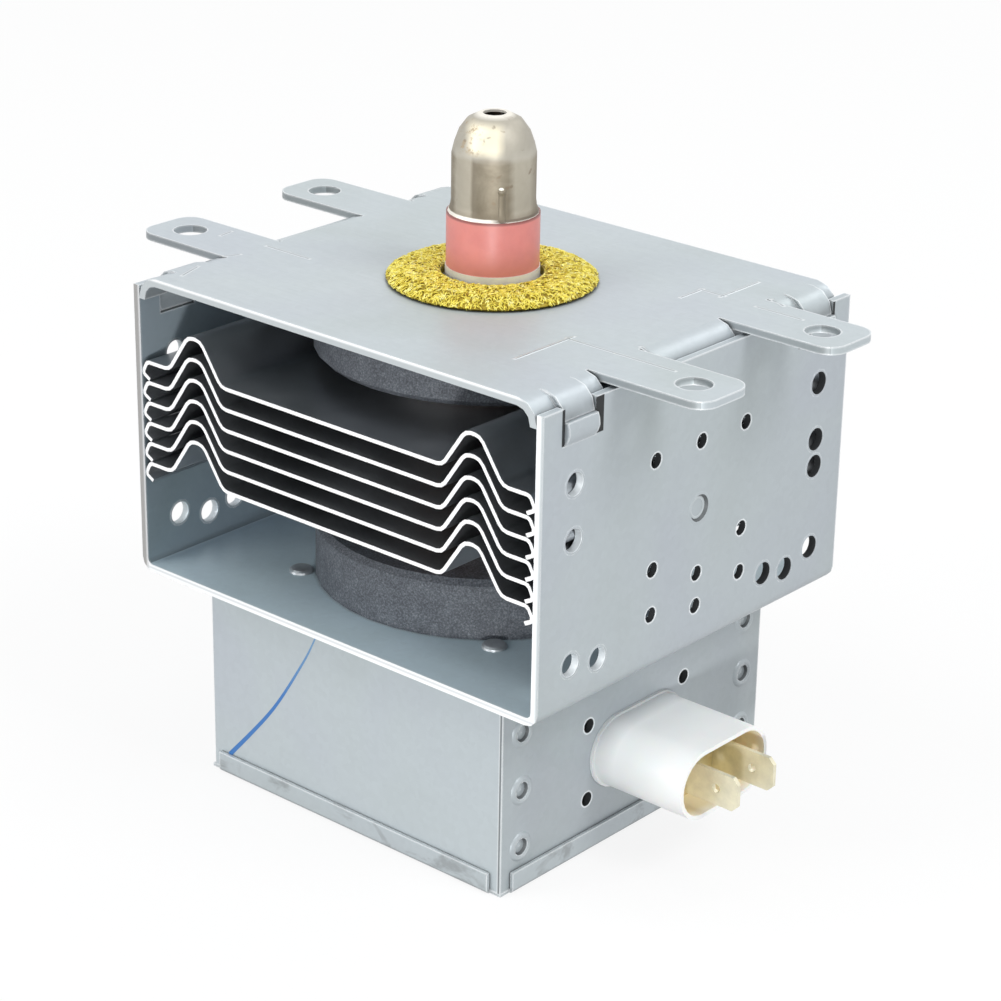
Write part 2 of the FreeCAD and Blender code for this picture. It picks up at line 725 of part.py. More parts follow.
def exhaust_tube():
    """A copper tube that is round below and pinched shut above, on the antenna lead."""
    round_top = INSULATOR_TOP + EXHAUST_ROUND_HEIGHT
    levels = (
        (INSULATOR_TOP, EXHAUST_RADIUS, EXHAUST_RADIUS),
        (round_top, EXHAUST_RADIUS, EXHAUST_RADIUS),
        (round_top + EXHAUST_PINCH_LENGTH / 2, EXHAUST_PINCH_WIDTH / 2, EXHAUST_PINCH_THICKNESS / 2),
        (exhaust_top(), EXHAUST_PINCH_WIDTH / 2, EXHAUST_PINCH_THICKNESS / 2),
    )
    rings = []
    for height, wide, thick in levels:
        loop = []
        for step in range(INNER_SIDES + 1):
            angle = 2 * math.pi * (step % INNER_SIDES) / INNER_SIDES
            loop.append(Vector(wide * math.cos(angle), thick * math.sin(angle), height))
        rings.append(loop)
    faces = [flat_face(rings[0][:-1]), flat_face(rings[-1][:-1])]
    for low, high in zip(rings, rings[1:]):
        for step in range(INNER_SIDES):
            faces.append(flat_face([low[step], low[step + 1], high[step + 1]]))
            faces.append(flat_face([low[step], high[step + 1], high[step]]))
    bore = prism(EXHAUST_RADIUS - EXHAUST_WALL, INSULATOR_TOP - 1, round_top, INNER_SIDES)
    return closed_solid(faces).removeSplitter().cut([bore, lead_solid(LEAD_RADIUS)])


def lead_top():
    """Where the antenna lead ends, held in the pinched tube."""
    return exhaust_top() - EXHAUST_PINCH_LENGTH / 4


def lead_solid(radius):
    """The antenna lead, from a vane up through the pole piece to the axis."""
    gate = SLEEVE_RADIUS - SLEEVE_WALL - LEAD_RADIUS - LEAD_SLEEVE_GAP
    corners = [
        (LEAD_FOOT_RADIUS, VANE_TOP),
        (LEAD_FOOT_RADIUS, VANE_TOP + LEAD_RISE),
        (gate, UPPER_MAGNET_BOTTOM - LEAD_RADIUS),
        (0.0, UPPER_MAGNET_BOTTOM + LEAD_CROSSING),
        (0.0, lead_top()),
    ]
    points = [seen_in_section(point) for point in rounded_points(corners, LEAD_BENDS)]
    return bent_wire(points, radius, LEAD_SIDES)


def antenna_lead():
    return lead_solid(LEAD_RADIUS)


# Magnets, pole pieces and shells

def magnet(bottom, upper):
    """A ring magnet with a chamfer at the edge that faces the fins."""
    top = bottom + MAGNET_HEIGHT
    low = MAGNET_CHAMFER if upper else 0.0
    high = 0.0 if upper else MAGNET_CHAMFER
    outline = [(MAGNET_BORE_RADIUS, bottom), (MAGNET_RADIUS - low, bottom)]
    if upper:
        outline.append((MAGNET_RADIUS, bottom + low))
    outline.append((MAGNET_RADIUS, top - high))
    if not upper:
        outline.append((MAGNET_RADIUS - high, top))
    outline.append((MAGNET_BORE_RADIUS, top))
    return lathe(outline, MAGNET_SIDES)


def pole_piece(face, inward):
    """A funnel of soft iron, its flange against the shell at height face."""
    half = POLE_SHEET / 2
    flange = face + inward * half
    tip = flange + inward * POLE_CONE_DEPTH
    path = [
        (POLE_RADIUS, flange),
        (POLE_CONE_RADIUS, flange),
        (POLE_TIP_RADIUS, tip),
        (POLE_HOLE_RADIUS, tip),
    ]
    return lathe_sheet(path, POLE_SHEET, INNER_SIDES)


def shell(face, away, end):
    """A drawn shell: a flange over the pole piece and a tube along the axis."""
    half = SHELL_SHEET / 2
    tube = SLEEVE_RADIUS - SLEEVE_WALL / 2
    path = [
        (POLE_RADIUS, face - away * half),
        (tube, face - away * half),
        (tube, end),
    ]
    return lathe_sheet(path, SHELL_SHEET, LATHE_SIDES)


def upper_pole_piece():
    return pole_piece(UPPER_MAGNET_BOTTOM - SHELL_SHEET, -1).cut(lead_solid(LEAD_RADIUS + LEAD_CLEARANCE))


def lower_pole_piece():
    return pole_piece(LOWER_MAGNET_TOP + SHELL_SHEET, 1)


def upper_sleeve():
    return shell(UPPER_MAGNET_BOTTOM, 1, SLEEVE_TOP)


def lower_sleeve():
    return shell(LOWER_MAGNET_TOP, -1, FLOOR_BOTTOM - LOWER_SLEEVE_DROP)


# Anode

def anode_cylinder():
    outline = [
        (ANODE_BORE, ANODE_BOTTOM),
        (ANODE_RADIUS, ANODE_BOTTOM),
        (ANODE_RADIUS, ANODE_TOP),
        (ANODE_BORE, ANODE_TOP),
    ]
    return lathe(outline, ANODE_SIDES)


def strap_ring(radius, upper):
    """One strap ring with a flat over each vane, let into the vanes' upper or lower ends."""
    if upper:
        bottom = VANE_TOP - STRAP_DEPTH
    else:
        bottom = VANE_BOTTOM + STRAP_DEPTH - STRAP_HEIGHT
    corner = 1 / math.cos(math.pi / STRAP_SIDES)
    inner = radius * corner
    outer = (radius + STRAP_WIDTH) * corner
    top = bottom + STRAP_HEIGHT
    return lathe([(inner, bottom), (outer, bottom), (outer, top), (inner, top)], STRAP_SIDES, 0.5)


def strap_slot(radius, upper, clearance):
    """The cut in a vane for a strap ring, tight where it is brazed and open elsewhere."""
    depth = STRAP_DEPTH + clearance
    half = VANE_THICKNESS
    low, high = (VANE_TOP - depth, VANE_TOP + 1) if upper else (VANE_BOTTOM - 1, VANE_BOTTOM + depth)
    return box((radius - clearance, -half, low), (radius + STRAP_WIDTH + clearance, half, high))


def anode_vane(index):
    """A flat copper vane from the anode's wall to the space round the cathode."""
    half = VANE_THICKNESS / 2
    angle = 360 / VANE_COUNT * (index - 1)
    blade = box((VANE_TIP_RADIUS, -half, VANE_BOTTOM), (ANODE_BORE + 1, half, VANE_TOP))
    odd = index % 2 == 1
    cuts = [
        strap_slot(STRAP_INNER_RADIUS, True, 0.0 if odd else STRAP_CLEARANCE),
        strap_slot(STRAP_OUTER_RADIUS, True, STRAP_CLEARANCE if odd else 0.0),
        strap_slot(STRAP_INNER_RADIUS, False, STRAP_CLEARANCE if odd else 0.0),
        strap_slot(STRAP_OUTER_RADIUS, False, 0.0 if odd else STRAP_CLEARANCE),
    ]
    blade = blade.cut(cuts)
    blade.rotate(CENTRE, Z_AXIS, angle)
    return blade.common(prism(ANODE_BORE, VANE_BOTTOM, VANE_TOP, ANODE_SIDES))


# Cathode and stem

def coil_points(radius, pitch, turns, start):
    """Points along a coil about +Z from the height start, beginning on the +X side."""
    points = []
    for step in range(turns * FILAMENT_STEPS + 1):
        angle = 2 * math.pi * step / FILAMENT_STEPS
        height = start + pitch * step / FILAMENT_STEPS
        points.append(Vector(radius * math.cos(angle), radius * math.sin(angle), height))
    return points


def cathode_filament():
    foot = FILAMENT_BOTTOM + FILAMENT_LEAD
    pitch = (FILAMENT_LENGTH - 2 * FILAMENT_LEAD) / FILAMENT_TURNS
    coil = coil_points(FILAMENT_RADIUS, pitch, FILAMENT_TURNS, foot)
    low_end = Vector(FILAMENT_RADIUS, 0, FILAMENT_BOTTOM)
    high_end = Vector(FILAMENT_RADIUS, 0, FILAMENT_TOP)
    return bent_wire([low_end] + coil + [high_end], FILAMENT_WIRE, WIRE_SIDES)


def upper_end_hat():
    hat = prism(HAT_RADIUS, FILAMENT_TOP, FILAMENT_TOP + HAT_THICKNESS, INNER_SIDES)
    boss = prism(2 * ROD_RADIUS, FILAMENT_TOP + HAT_THICKNESS, FILAMENT_TOP + 2 * HAT_THICKNESS, ROD_SIDES)
    return join_all(hat, [boss]).cut(prism(ROD_RADIUS, FILAMENT_TOP, FILAMENT_TOP + HAT_THICKNESS, ROD_SIDES))


def lower_end_hat():
    hat = prism(HAT_RADIUS, FILAMENT_BOTTOM - HAT_THICKNESS, FILAMENT_BOTTOM, INNER_SIDES)
    return hat.cut(prism(2 * ROD_RADIUS, FILAMENT_BOTTOM - HAT_THICKNESS, FILAMENT_BOTTOM, ROD_SIDES))


def rod_end():
    """Both support rods end flush with the outer faces of their terminals."""
    return STEM_BOTTOM - TERMINAL_SHEET


def centre_support_rod():
    return prism(ROD_RADIUS, rod_end(), FILAMENT_TOP + HAT_THICKNESS, ROD_SIDES)


def side_support_rod():
    return prism(ROD_RADIUS, rod_end(), FILAMENT_BOTTOM - HAT_THICKNESS, ROD_SIDES, 0, SIDE_ROD_OFFSET)


def stem_insulator():
    shoulder = STEM_TOP - STEM_OVERLAP
    plug = prism(SLEEVE_RADIUS - SLEEVE_WALL - STEM_CLEARANCE, shoulder, STEM_TOP, LATHE_SIDES)
    body = join_all(prism(SLEEVE_RADIUS, STEM_BOTTOM, shoulder, LATHE_SIDES), [plug])
    bore = ROD_RADIUS + ROD_CLEARANCE
    for rod_y in (0, SIDE_ROD_OFFSET):
        body = body.cut(prism(bore, STEM_BOTTOM - 1, STEM_TOP + 1, ROD_SIDES, 0, rod_y))
    return body


def filament_terminal(sign, rod_y):
    """A strip under the stem, from a support rod out to the end of a choke lead."""
    leg_y = sign * TAB_PITCH / 2
    half = TERMINAL_WIDTH / 2
    eye = ROD_RADIUS + TERMINAL_EYE
    low = min(rod_y, leg_y) - (half if leg_y < rod_y else eye)
    high = max(rod_y, leg_y) + (half if leg_y > rod_y else eye)
    flat = box((-half, low, STEM_BOTTOM - TERMINAL_SHEET), (half, high, STEM_BOTTOM))
    leg_low = CAPACITOR_Z - 2 * CHOKE_WIRE_RADIUS
    leg = box((half - TERMINAL_SHEET, leg_y - half, leg_low), (half, leg_y + half, STEM_BOTTOM))
    return join_all(flat, [leg]).cut(prism(ROD_RADIUS, rod_end() - 1, STEM_BOTTOM + 1, ROD_SIDES, 0, rod_y))


# Cooling fins

def fin_path():
    """The middle line of a fin, seen from the front, with the noses of its lips against the walls."""
    wall = WALL_IN - FIN_SHEET / 2
    rise = FIN_HUMP_HEIGHT
    right = [
        (FIN_HUMP_CENTRE - FIN_HUMP_HALF_FOOT, 0.0),
        (FIN_HUMP_CENTRE - FIN_HUMP_HALF_TOP, rise),
        (FIN_HUMP_CENTRE + FIN_HUMP_HALF_TOP, rise),
        (FIN_HUMP_CENTRE + FIN_HUMP_HALF_FOOT, 0.0),
        (wall - FIN_LIP_SHOULDER, 0.0),
        (wall, -FIN_LIP_NOSE_TOP),
        (wall, -FIN_LIP_NOSE_TOP - FIN_LIP_NOSE),
        (wall - FIN_LIP_RETURN, -FIN_LIP_DROP),
    ]
    left = [(-x, z) for x, z in reversed(right)]
    return left + right, FIN_BENDS[::-1] + FIN_BENDS


def cooling_fin(index):
    """A fin round the anode. Where its humps would meet the upper magnet they are notched."""
    height = -FIN_TOP_DROP - FIN_SHEET / 2 - (index - 1) * FIN_PITCH
    points, radii = fin_path()
    face = strip_face(points, radii, FIN_SHEET, seen_from_front)
    face.translate(Vector(0, FIN_DEPTH_SETBACK, height))
    sheet = face.extrude(Vector(0, YOKE_DEPTH - 2 * FIN_DEPTH_SETBACK, 0))
    sheet = sheet.cut(prism(ANODE_RADIUS, height - FIN_SHEET, height + FIN_SHEET, ANODE_SIDES))
    clear = UPPER_MAGNET_BOTTOM - FIN_MAGNET_GAP
    if height + FIN_HUMP_HEIGHT + FIN_SHEET > clear:
        sheet = sheet.cut(prism(MAGNET_RADIUS + FIN_MAGNET_GAP, clear, 0, MAGNET_SIDES))
    return sheet


# Filter box

def folded_block(grow, bend):
    """A block the size of the box, with its two upright folds rounded."""
    low = Vector(BOX_LEFT + grow, -BOX_DEPTH / 2 + grow, BOX_BOTTOM)
    high = Vector(PANEL_IN, BOX_DEPTH / 2 - grow, BOX_TOP - grow)
    solid = box(low, high)
    folds = []
    for edge in solid.Edges:
        middle = edge.CenterOfMass
        if middle.x < low.x + 0.01 and abs(edge.tangentAt(edge.FirstParameter).z) > 0.9:
            folds.append(edge)
    return solid.makeFillet(bend, folds).Solids[0]


def filter_box():
    body = folded_block(0, BOX_BEND).cut(folded_block(BOX_SHEET, BOX_BEND - BOX_SHEET))
    flanges = []
    for sign in (-1, 1):
        outer = sign * (BOX_DEPTH / 2 - BOX_SHEET)
        inner = sign * (BOX_DEPTH / 2 - BOX_FLANGE)
        flanges.append(box((PANEL_IN - BOX_SHEET, min(outer, inner), BOX_BOTTOM),
                           (PANEL_IN, max(outer, inner), BOX_TOP - BOX_SHEET)))
    tools = [prism(SLEEVE_RADIUS + BOX_STEM_CLEARANCE, BOX_TOP - 1, BOX_TOP + 1, LATHE_SIDES)]
    for x, y in rivet_places():
        tools.append(prism(RIVET_RADIUS, BOX_TOP - 1, BOX_TOP + 1, SMALL_HOLE_SIDES, x, y))
    return cut_all(join_all(body, flanges), tools)


def clinch_places():
    """The round clinches that hold the side panel to the box's flanges."""
    for sign in (-1, 1):
        y = sign * (BOX_DEPTH / 2 - PANEL_CLINCH_FROM_EDGE)
        for row in range(PANEL_CLINCH_COUNT):
            yield y, BOX_TOP - PANEL_CLINCH_TOP_DROP - row * PANEL_CLINCH_SPACING


def capacitor_screw_holes(start, end):
    """The four punched holes round the capacitor, as cutting rods."""
    holes = []
    for y in (-CAP_HOLE_PITCH_Y / 2, CAP_HOLE_PITCH_Y / 2):
        for rise in (-CAP_HOLE_PITCH_Z / 2, CAP_HOLE_PITCH_Z / 2):
            z = CAPACITOR_Z + rise
            holes.append(side_prism(CAP_SCREW_HOLE_RADIUS, start, end, SMALL_HOLE_SIDES, y, z))
    return holes


def side_frustum(low_radius, high_radius, start, end, y, z):
    """A many-sided cone along X between two distances."""
    rings = []
    for distance, radius in ((start, low_radius), (end, high_radius)):
        loop = []
        for step in range(SMALL_HOLE_SIDES + 1):
            angle = 2 * math.pi * (step % SMALL_HOLE_SIDES + 0.5) / SMALL_HOLE_SIDES
            loop.append(Vector(distance, y + radius * math.cos(angle), z + radius * math.sin(angle)))
        rings.append(loop)
    faces = [flat_face(loop[:-1]) for loop in rings]
    for step in range(SMALL_HOLE_SIDES):
        faces.append(flat_face([rings[0][step], rings[0][step + 1], rings[1][step + 1], rings[1][step]]))
    return closed_solid(faces)


def filter_side_panel():
    half = BOX_DEPTH / 2
    body = box((PANEL_IN, -half, BOX_BOTTOM), (PANEL_OUT, half, BOX_TOP - PANEL_TOP_GAP))
    rim_end = PANEL_OUT + CLINCH_RIM_HEIGHT
    rims = []
    tools = capacitor_screw_holes(PANEL_IN - 1, PANEL_OUT + 1)
    tools.append(stadium(SHELL_HEIGHT / 2 - SHELL_WALL, PANEL_IN - 1, PANEL_OUT + 1))
    for y, z in clinch_places():
        rims.append(side_frustum(CLINCH_RIM_RADIUS, CLINCH_RADIUS + CLINCH_RIM_TOP, PANEL_OUT, rim_end, y, z))
        tools.append(side_prism(CLINCH_RADIUS, PANEL_OUT - CLINCH_DEPTH, rim_end + 1, SMALL_HOLE_SIDES, y, z))
    return cut_all(join_all(body, rims), tools)


def lid_flange(out, length, place, along):
    """One upturned flange of the lid outside a wall of the box."""
    half = LID_SHEET / 2
    wall = out + LID_CLEARANCE + half
    path = [
        (out - LID_LAP, BOX_BOTTOM - half),
        (wall, BOX_BOTTOM - half),
        (wall, BOX_BOTTOM - LID_SHEET + LID_FLANGE),
    ]
    return strip_face(path, (LID_CLEARANCE + half,), LID_SHEET, place).extrude(along * length)


def filter_lid():
    half_depth = BOX_DEPTH / 2
    body = box((BOX_LEFT, -half_depth, BOX_BOTTOM - LID_SHEET), (PANEL_OUT, half_depth, BOX_BOTTOM))
    side_length = BOX_DEPTH - 2 * LID_NOTCH
    front_length = BOX_WIDTH - 2 * LID_NOTCH
    side = lid_flange(PANEL_OUT, side_length, lambda p: Vector(p[0], -side_length / 2, p[1]), Y_AXIS)
    front = lid_flange(half_depth, front_length, lambda p: Vector(-front_length / 2, p[0], p[1]), X_AXIS)
    return join_all(body, [side, mirrored(side, X_AXIS), front, mirrored(front, Y_AXIS)])


def box_rivets():
    """Four rivets with domed heads inside the yoke, as one group."""
    tail_top = BOX_TOP - BOX_SHEET
    head = RIVET_HEAD_RADIUS
    levels = [
        (head, tail_top - RIVET_TAIL_HEIGHT),
        (head, tail_top),
        (RIVET_RADIUS, tail_top),
        (RIVET_RADIUS, FLOOR_TOP),
        (head, FLOOR_TOP),
        (head * RIVET_DOME[0], FLOOR_TOP + RIVET_HEAD_HEIGHT * RIVET_DOME[1]),
        (head - RIVET_HEAD_HEIGHT, FLOOR_TOP + RIVET_HEAD_HEIGHT),
    ]
    rivets = []
    for x, y in rivet_places():
        rivet = turned_rod(levels, RIVET_SIDES)
        rivet.translate(Vector(x, y, 0))
        rivets.append(rivet)
    return Part.makeCompound(rivets)


# Feed-through capacitor

def tab_slots(start, end, clearance):
    """Slots for both tabs, as cutting blocks."""
    slots = []
    for sign in (-1, 1):
        y = sign * TAB_PITCH / 2
        slots.append(box((start, y - TAB_THICKNESS / 2 - clearance, CAPACITOR_Z - TAB_WIDTH / 2 - clearance),
                         (end, y + TAB_THICKNESS / 2 + clearance, CAPACITOR_Z + TAB_WIDTH / 2 + clearance)))
    return slots


def terminal_tab(sign):
    """A flat blade from the choke lead out through the capacitor to the open."""
    y = sign * TAB_PITCH / 2
    half = TAB_WIDTH / 2
    outline = [
        (TAB_INNER_END, -half),
        (TAB_END - TAB_TAPER, -half),
        (TAB_END, -half + TAB_TAPER),
        (TAB_END, half - TAB_TAPER),
        (TAB_END - TAB_TAPER, half),
        (TAB_INNER_END, half),
    ]
    corners = [Vector(x, y - TAB_THICKNESS / 2, CAPACITOR_Z + z) for x, z in outline]
    blade = flat_face(corners).extrude(Vector(0, TAB_THICKNESS, 0))
    middle = TAB_END - TAB_HOLE_FROM_END
    corners = []
    for step in range(SMALL_HOLE_SIDES):
        angle = 2 * math.pi * step / SMALL_HOLE_SIDES
        corners.append(Vector(middle + TAB_HOLE_RADIUS * math.cos(angle), y - TAB_THICKNESS,
                              CAPACITOR_Z + TAB_HOLE_RADIUS * math.sin(angle)))
    return blade.cut(flat_face(corners).extrude(Vector(0, 2 * TAB_THICKNESS, 0)))


def capacitor_shell():
    """The white shroud outside the panel, with a thin rim at its foot."""
    body = stadium(SHELL_HEIGHT / 2, PANEL_OUT, SHELL_MOUTH)
    rim = stadium(SHELL_HEIGHT / 2 + SHELL_RIM_WIDTH, PANEL_OUT, PANEL_OUT + SHELL_RIM_THICKNESS)
    inside = stadium(SHELL_HEIGHT / 2 - SHELL_WALL, PANEL_OUT, SHELL_MOUTH)
    return join_all(body, [rim]).cut(inside)


def capacitor_epoxy():
    """The potting in the shroud, sunk below its mouth."""
    start = PANEL_IN + CAP_CERAMIC_LENGTH
    body = stadium(SHELL_HEIGHT / 2 - SHELL_WALL, start, SHELL_MOUTH - SHELL_RECESS)
    return body.cut(tab_slots(start, SHELL_MOUTH, 0.0))


def capacitor_ceramic():
    """The twin capacitor's block, inside the foot of the shroud."""
    end = PANEL_IN + CAP_CERAMIC_LENGTH
    body = stadium(SHELL_HEIGHT / 2 - SHELL_WALL - CAP_CERAMIC_GAP, PANEL_IN, end, INNER_SIDES)
    return body.cut(tab_slots(PANEL_IN, end, TAB_SLOT_CLEARANCE))


def capacitor_plate():
    """The earth plate inside the side panel, with chamfered corners."""
    half_y = CAP_PLATE_WIDTH / 2
    half_z = CAP_PLATE_HEIGHT / 2
    cut = CAP_PLATE_CORNER
    outline = [
        (-half_y + cut, -half_z), (half_y - cut, -half_z), (half_y, -half_z + cut), (half_y, half_z - cut),
        (half_y - cut, half_z), (-half_y + cut, half_z), (-half_y, half_z - cut), (-half_y, -half_z + cut),
    ]
    body = flat_face([Vector(PLATE_IN, y, CAPACITOR_Z + z) for y, z in outline])
    body = body.extrude(Vector(CAP_PLATE_SHEET, 0, 0))
    holes = capacitor_screw_holes(PLATE_IN - 1, PANEL_IN + 1)
    radius = TAB_WIDTH / 2 + CAP_PLATE_CLEARANCE
    for y in (-TAB_PITCH / 2, TAB_PITCH / 2):
        holes.append(side_prism(radius, PLATE_IN - 1, PANEL_IN + 1, LARGE_HOLE_SIDES, y, CAPACITOR_Z))
    return cut_all(body, holes)


def capacitor_inner_shell():
    """The cover over the capacitor inside the box, closed but for the two leads."""
    body = stadium(SHELL_HEIGHT / 2, INNER_SHELL_END, PLATE_IN, INNER_SIDES)
    inside = stadium(SHELL_HEIGHT / 2 - SHELL_WALL, INNER_SHELL_END + SHELL_WALL, PLATE_IN + 1, INNER_SIDES)
    return body.cut([inside] + tab_slots(INNER_SHELL_END - 1, PLATE_IN + 1, TAB_SLOT_CLEARANCE))


# Chokes

def choke_coil(sign):
    """A coil of enamelled wire with straight leads to the stem and the capacitor."""
    points = [Vector(TERMINAL_WIDTH / 2, sign * TAB_PITCH / 2, CAPACITOR_Z)]
    for step in range(CHOKE_TURNS * CHOKE_STEPS + 1):
        angle = 2 * math.pi * step / CHOKE_STEPS
        x = CHOKE_START + CHOKE_PITCH * step / CHOKE_STEPS
        y = sign * (CHOKE_Y - CHOKE_COIL_RADIUS * math.cos(angle))
        points.append(Vector(x, y, CAPACITOR_Z + CHOKE_COIL_RADIUS * math.sin(angle)))
    points.append(Vector(TAB_INNER_END, sign * TAB_PITCH / 2, CAPACITOR_Z))
    return bent_wire(points, CHOKE_WIRE_RADIUS, WIRE_SIDES)


def choke_core(sign):
    start = (CHOKE_START + CHOKE_END - CHOKE_CORE_LENGTH) / 2
    return side_prism(CHOKE_CORE_RADIUS, start, start + CHOKE_CORE_LENGTH, LARGE_HOLE_SIDES,
                      sign * CHOKE_Y, CAPACITOR_Z)


def all_parts():
    """Every node by name."""
    parts = {
        "yoke_bracket": yoke_bracket(),
        "yoke_plate": yoke_plate(),
        "rf_gasket": rf_gasket(),
        "antenna_cap": antenna_cap(),
        "antenna_insulator": antenna_insulator(),
        "antenna_seal_cup": antenna_seal_cup(),
        "exhaust_tube": exhaust_tube(),
        "antenna_lead": antenna_lead(),
        "upper_sleeve": upper_sleeve(),
        "lower_sleeve": lower_sleeve(),
        "upper_magnet": magnet(UPPER_MAGNET_BOTTOM, True),
        "lower_magnet": magnet(FLOOR_TOP, False),
        "upper_pole_piece": upper_pole_piece(),
        "lower_pole_piece": lower_pole_piece(),
        "anode_cylinder": anode_cylinder(),
        "strap_ring_upper_inner": strap_ring(STRAP_INNER_RADIUS, True),
        "strap_ring_upper_outer": strap_ring(STRAP_OUTER_RADIUS, True),
        "strap_ring_lower_inner": strap_ring(STRAP_INNER_RADIUS, False),
        "strap_ring_lower_outer": strap_ring(STRAP_OUTER_RADIUS, False),
        "cathode_filament": cathode_filament(),
        "upper_end_hat": upper_end_hat(),
        "lower_end_hat": lower_end_hat(),
        "centre_support_rod": centre_support_rod(),
        "side_support_rod": side_support_rod(),
        "stem_insulator": stem_insulator(),
        "filament_terminal_1": filament_terminal(-1, 0.0),
        "filament_terminal_2": filament_terminal(1, SIDE_ROD_OFFSET),
        "filter_box": filter_box(),
        "filter_side_panel": filter_side_panel(),
        "filter_lid": filter_lid(),
        "box_rivets": box_rivets(),
        "capacitor_shell": capacitor_shell(),
        "capacitor_inner_shell": capacitor_inner_shell(),
        "capacitor_epoxy": capacitor_epoxy(),
        "capacitor_ceramic": capacitor_ceramic(),
        "capacitor_plate": capacitor_plate(),
        "terminal_tab_front": terminal_tab(-1),
        "terminal_tab_back": terminal_tab(1),
        "choke_coil_1": choke_coil(-1),
        "choke_coil_2": choke_coil(1),
        "choke_core_1": choke_core(-1),
        "choke_core_2": choke_core(1),
    }
    for index in range(1, VANE_COUNT + 1):
        parts["anode_vane_%02d" % index] = anode_vane(index)
    for index in range(1, FIN_COUNT + 1):
        parts["cooling_fin_%d" % index] = cooling_fin(index)
    return parts


def main():
    os.makedirs("parts", exist_ok=True)
    for name, shape in sorted(all_parts().items()):
        if not shape.isValid():
            raise ValueError(name + " is not a valid solid")
        shape.exportStep(os.path.join("parts", name + ".step"))
        print("%-24s solids %d  volume %9.1f mm3" % (name, len(shape.Solids), shape.Volume))


main()
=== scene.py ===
"""Microwave-oven magnetron: materials, fine pieces, light and camera on the CAD frame."""
import math
import random

import bpy
from mathutils import Matrix, Vector


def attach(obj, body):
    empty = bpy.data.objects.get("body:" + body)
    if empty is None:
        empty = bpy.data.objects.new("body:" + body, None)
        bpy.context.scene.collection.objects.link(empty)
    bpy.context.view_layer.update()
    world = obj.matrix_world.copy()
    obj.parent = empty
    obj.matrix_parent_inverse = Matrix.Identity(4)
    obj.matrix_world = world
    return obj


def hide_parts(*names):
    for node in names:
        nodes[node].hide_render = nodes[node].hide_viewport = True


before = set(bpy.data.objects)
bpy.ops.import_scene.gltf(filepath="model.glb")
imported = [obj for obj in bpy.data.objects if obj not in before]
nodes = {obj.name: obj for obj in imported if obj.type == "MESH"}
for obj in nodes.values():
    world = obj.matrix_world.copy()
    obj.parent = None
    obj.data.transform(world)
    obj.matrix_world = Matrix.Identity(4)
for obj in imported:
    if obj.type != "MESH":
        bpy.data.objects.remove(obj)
scene = bpy.context.scene
MM = 0.001


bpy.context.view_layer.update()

# Sizes repeated from the CAD model, in millimetres
BOX_FRONT_Y = -36.1
BASE_Z = -94.8
GASKET_PROFILE = ((9.05, 1.5), (9.85, 1.9), (15.45, 1.9), (17.5, 1.2), (18.7, 0.5))
CAP_PROFILE = ((12.4, 8.0), (13.5, 7.55), (14.6, 7.4), (22.9, 7.4))
CAPACITOR_Z = -77.5
SHELL_ARC_Y = 5.8
SHELL_BORE = 5.7
WALL_OUT = 47.25
WALL_SHEET = 1.4
PANEL_OUT = 35.5
SMALL_HOLE = (1.5, 8)
LARGE_HOLE = (2.35, 10)
SCREW_HOLE = (1.45, 8)
SMALL_HOLES = ((-12.3, -17.7), (0.0, -17.7), (12.3, -17.7), (-12.3, -37.4), (12.3, -37.4),
               (-12.3, -45.7), (12.3, -45.7), (0.0, -42.0), (0.0, -48.1))
LARGE_HOLES = ((-33.25, -15.6), (-33.25, -25.4), (-33.25, -47.6), (-26.2, -48.9), (33.25, -16.3),
               (33.25, -26.9), (33.25, -32.0), (33.25, -47.6), (19.4, -48.3), (25.9, -49.5))
SCREW_HOLES = ((-13.3, -84.7), (-13.3, -70.3), (13.3, -84.7), (13.3, -70.3))
CLINCHES = ((-31.1, -65.0), (-31.1, -75.9), (-31.1, -86.8), (31.1, -65.0), (31.1, -75.9), (31.1, -86.8))
RECESS = (0.0, -29.9)
LANCE_SIDES = (28.25, 36.45)
LANCE_BOTTOM = -8.3
LANCE_TOP = -2.1
RIVET_X = 23.3
RIVET_Y = 24.6
RIVET_PROFILE = ((2.3, -57.7), (2.3, -57.1), (1.5, -57.1), (1.5, -55.1), (2.3, -55.1), (2.18, -54.75),
                 (1.85, -54.45), (1.3, -54.3), (0.0, -54.22))

# Places that the materials name, in millimetres
YOKE_ENDS = 41.0
PLATE_ENDS = 39.0
LUGS_FROM = 42.0
PLATE_FOOT = -1.5
FOOT_FADE = 2.1
INSIDE_WALLS = 45.95
UNDER_PLATE = -1.3
ABOVE_FLOOR = -55.2
FLOOR_LINE = -55.7
SEAM_X = PANEL_OUT - 0.45

# Profiles of the pressed rings: radius, and height above the sheet
CLINCH_RING = ((2.75, -0.02), (2.6, 0.14), (2.25, 0.42), (1.85, 0.42), (1.54, 0.15))
CLINCH_HOLLOW = ((1.54, 0.15), (1.3, -0.38))
CLINCH_FLOOR = ((1.3, -0.38), (0.6, -0.3), (0.0, -0.15))
RECESS_RING = ((3.0, -0.02), (2.8, 0.08), (2.45, 0.05))
RECESS_SLOPE = ((2.45, 0.05), (2.05, -0.46))
RECESS_FLOOR = ((2.05, -0.46), (1.8, -0.38), (1.5, -0.47))

# Plane directions at the side of the cap that carries its seam: across it, and out from it
ACROSS = (0.7559, 0.6547)
OUTWARD = (0.6547, -0.7559)

# Camera, as fitted to the photograph
CAMERA_YAW = 40.89
CAMERA_PITCH = 22.73
CAMERA_ROLL = 0.99
CAMERA_EYE = (320.2, -365.9, 161.3)
FOCAL_PIXELS = 2921.0
CENTRE_X = 503.0
CENTRE_Y = 502.0
PHOTO_WIDTH = 1001
PHOTO_HEIGHT = 1001
SENSOR = 36.0
CLIP_RANGE = (0.01, 10)


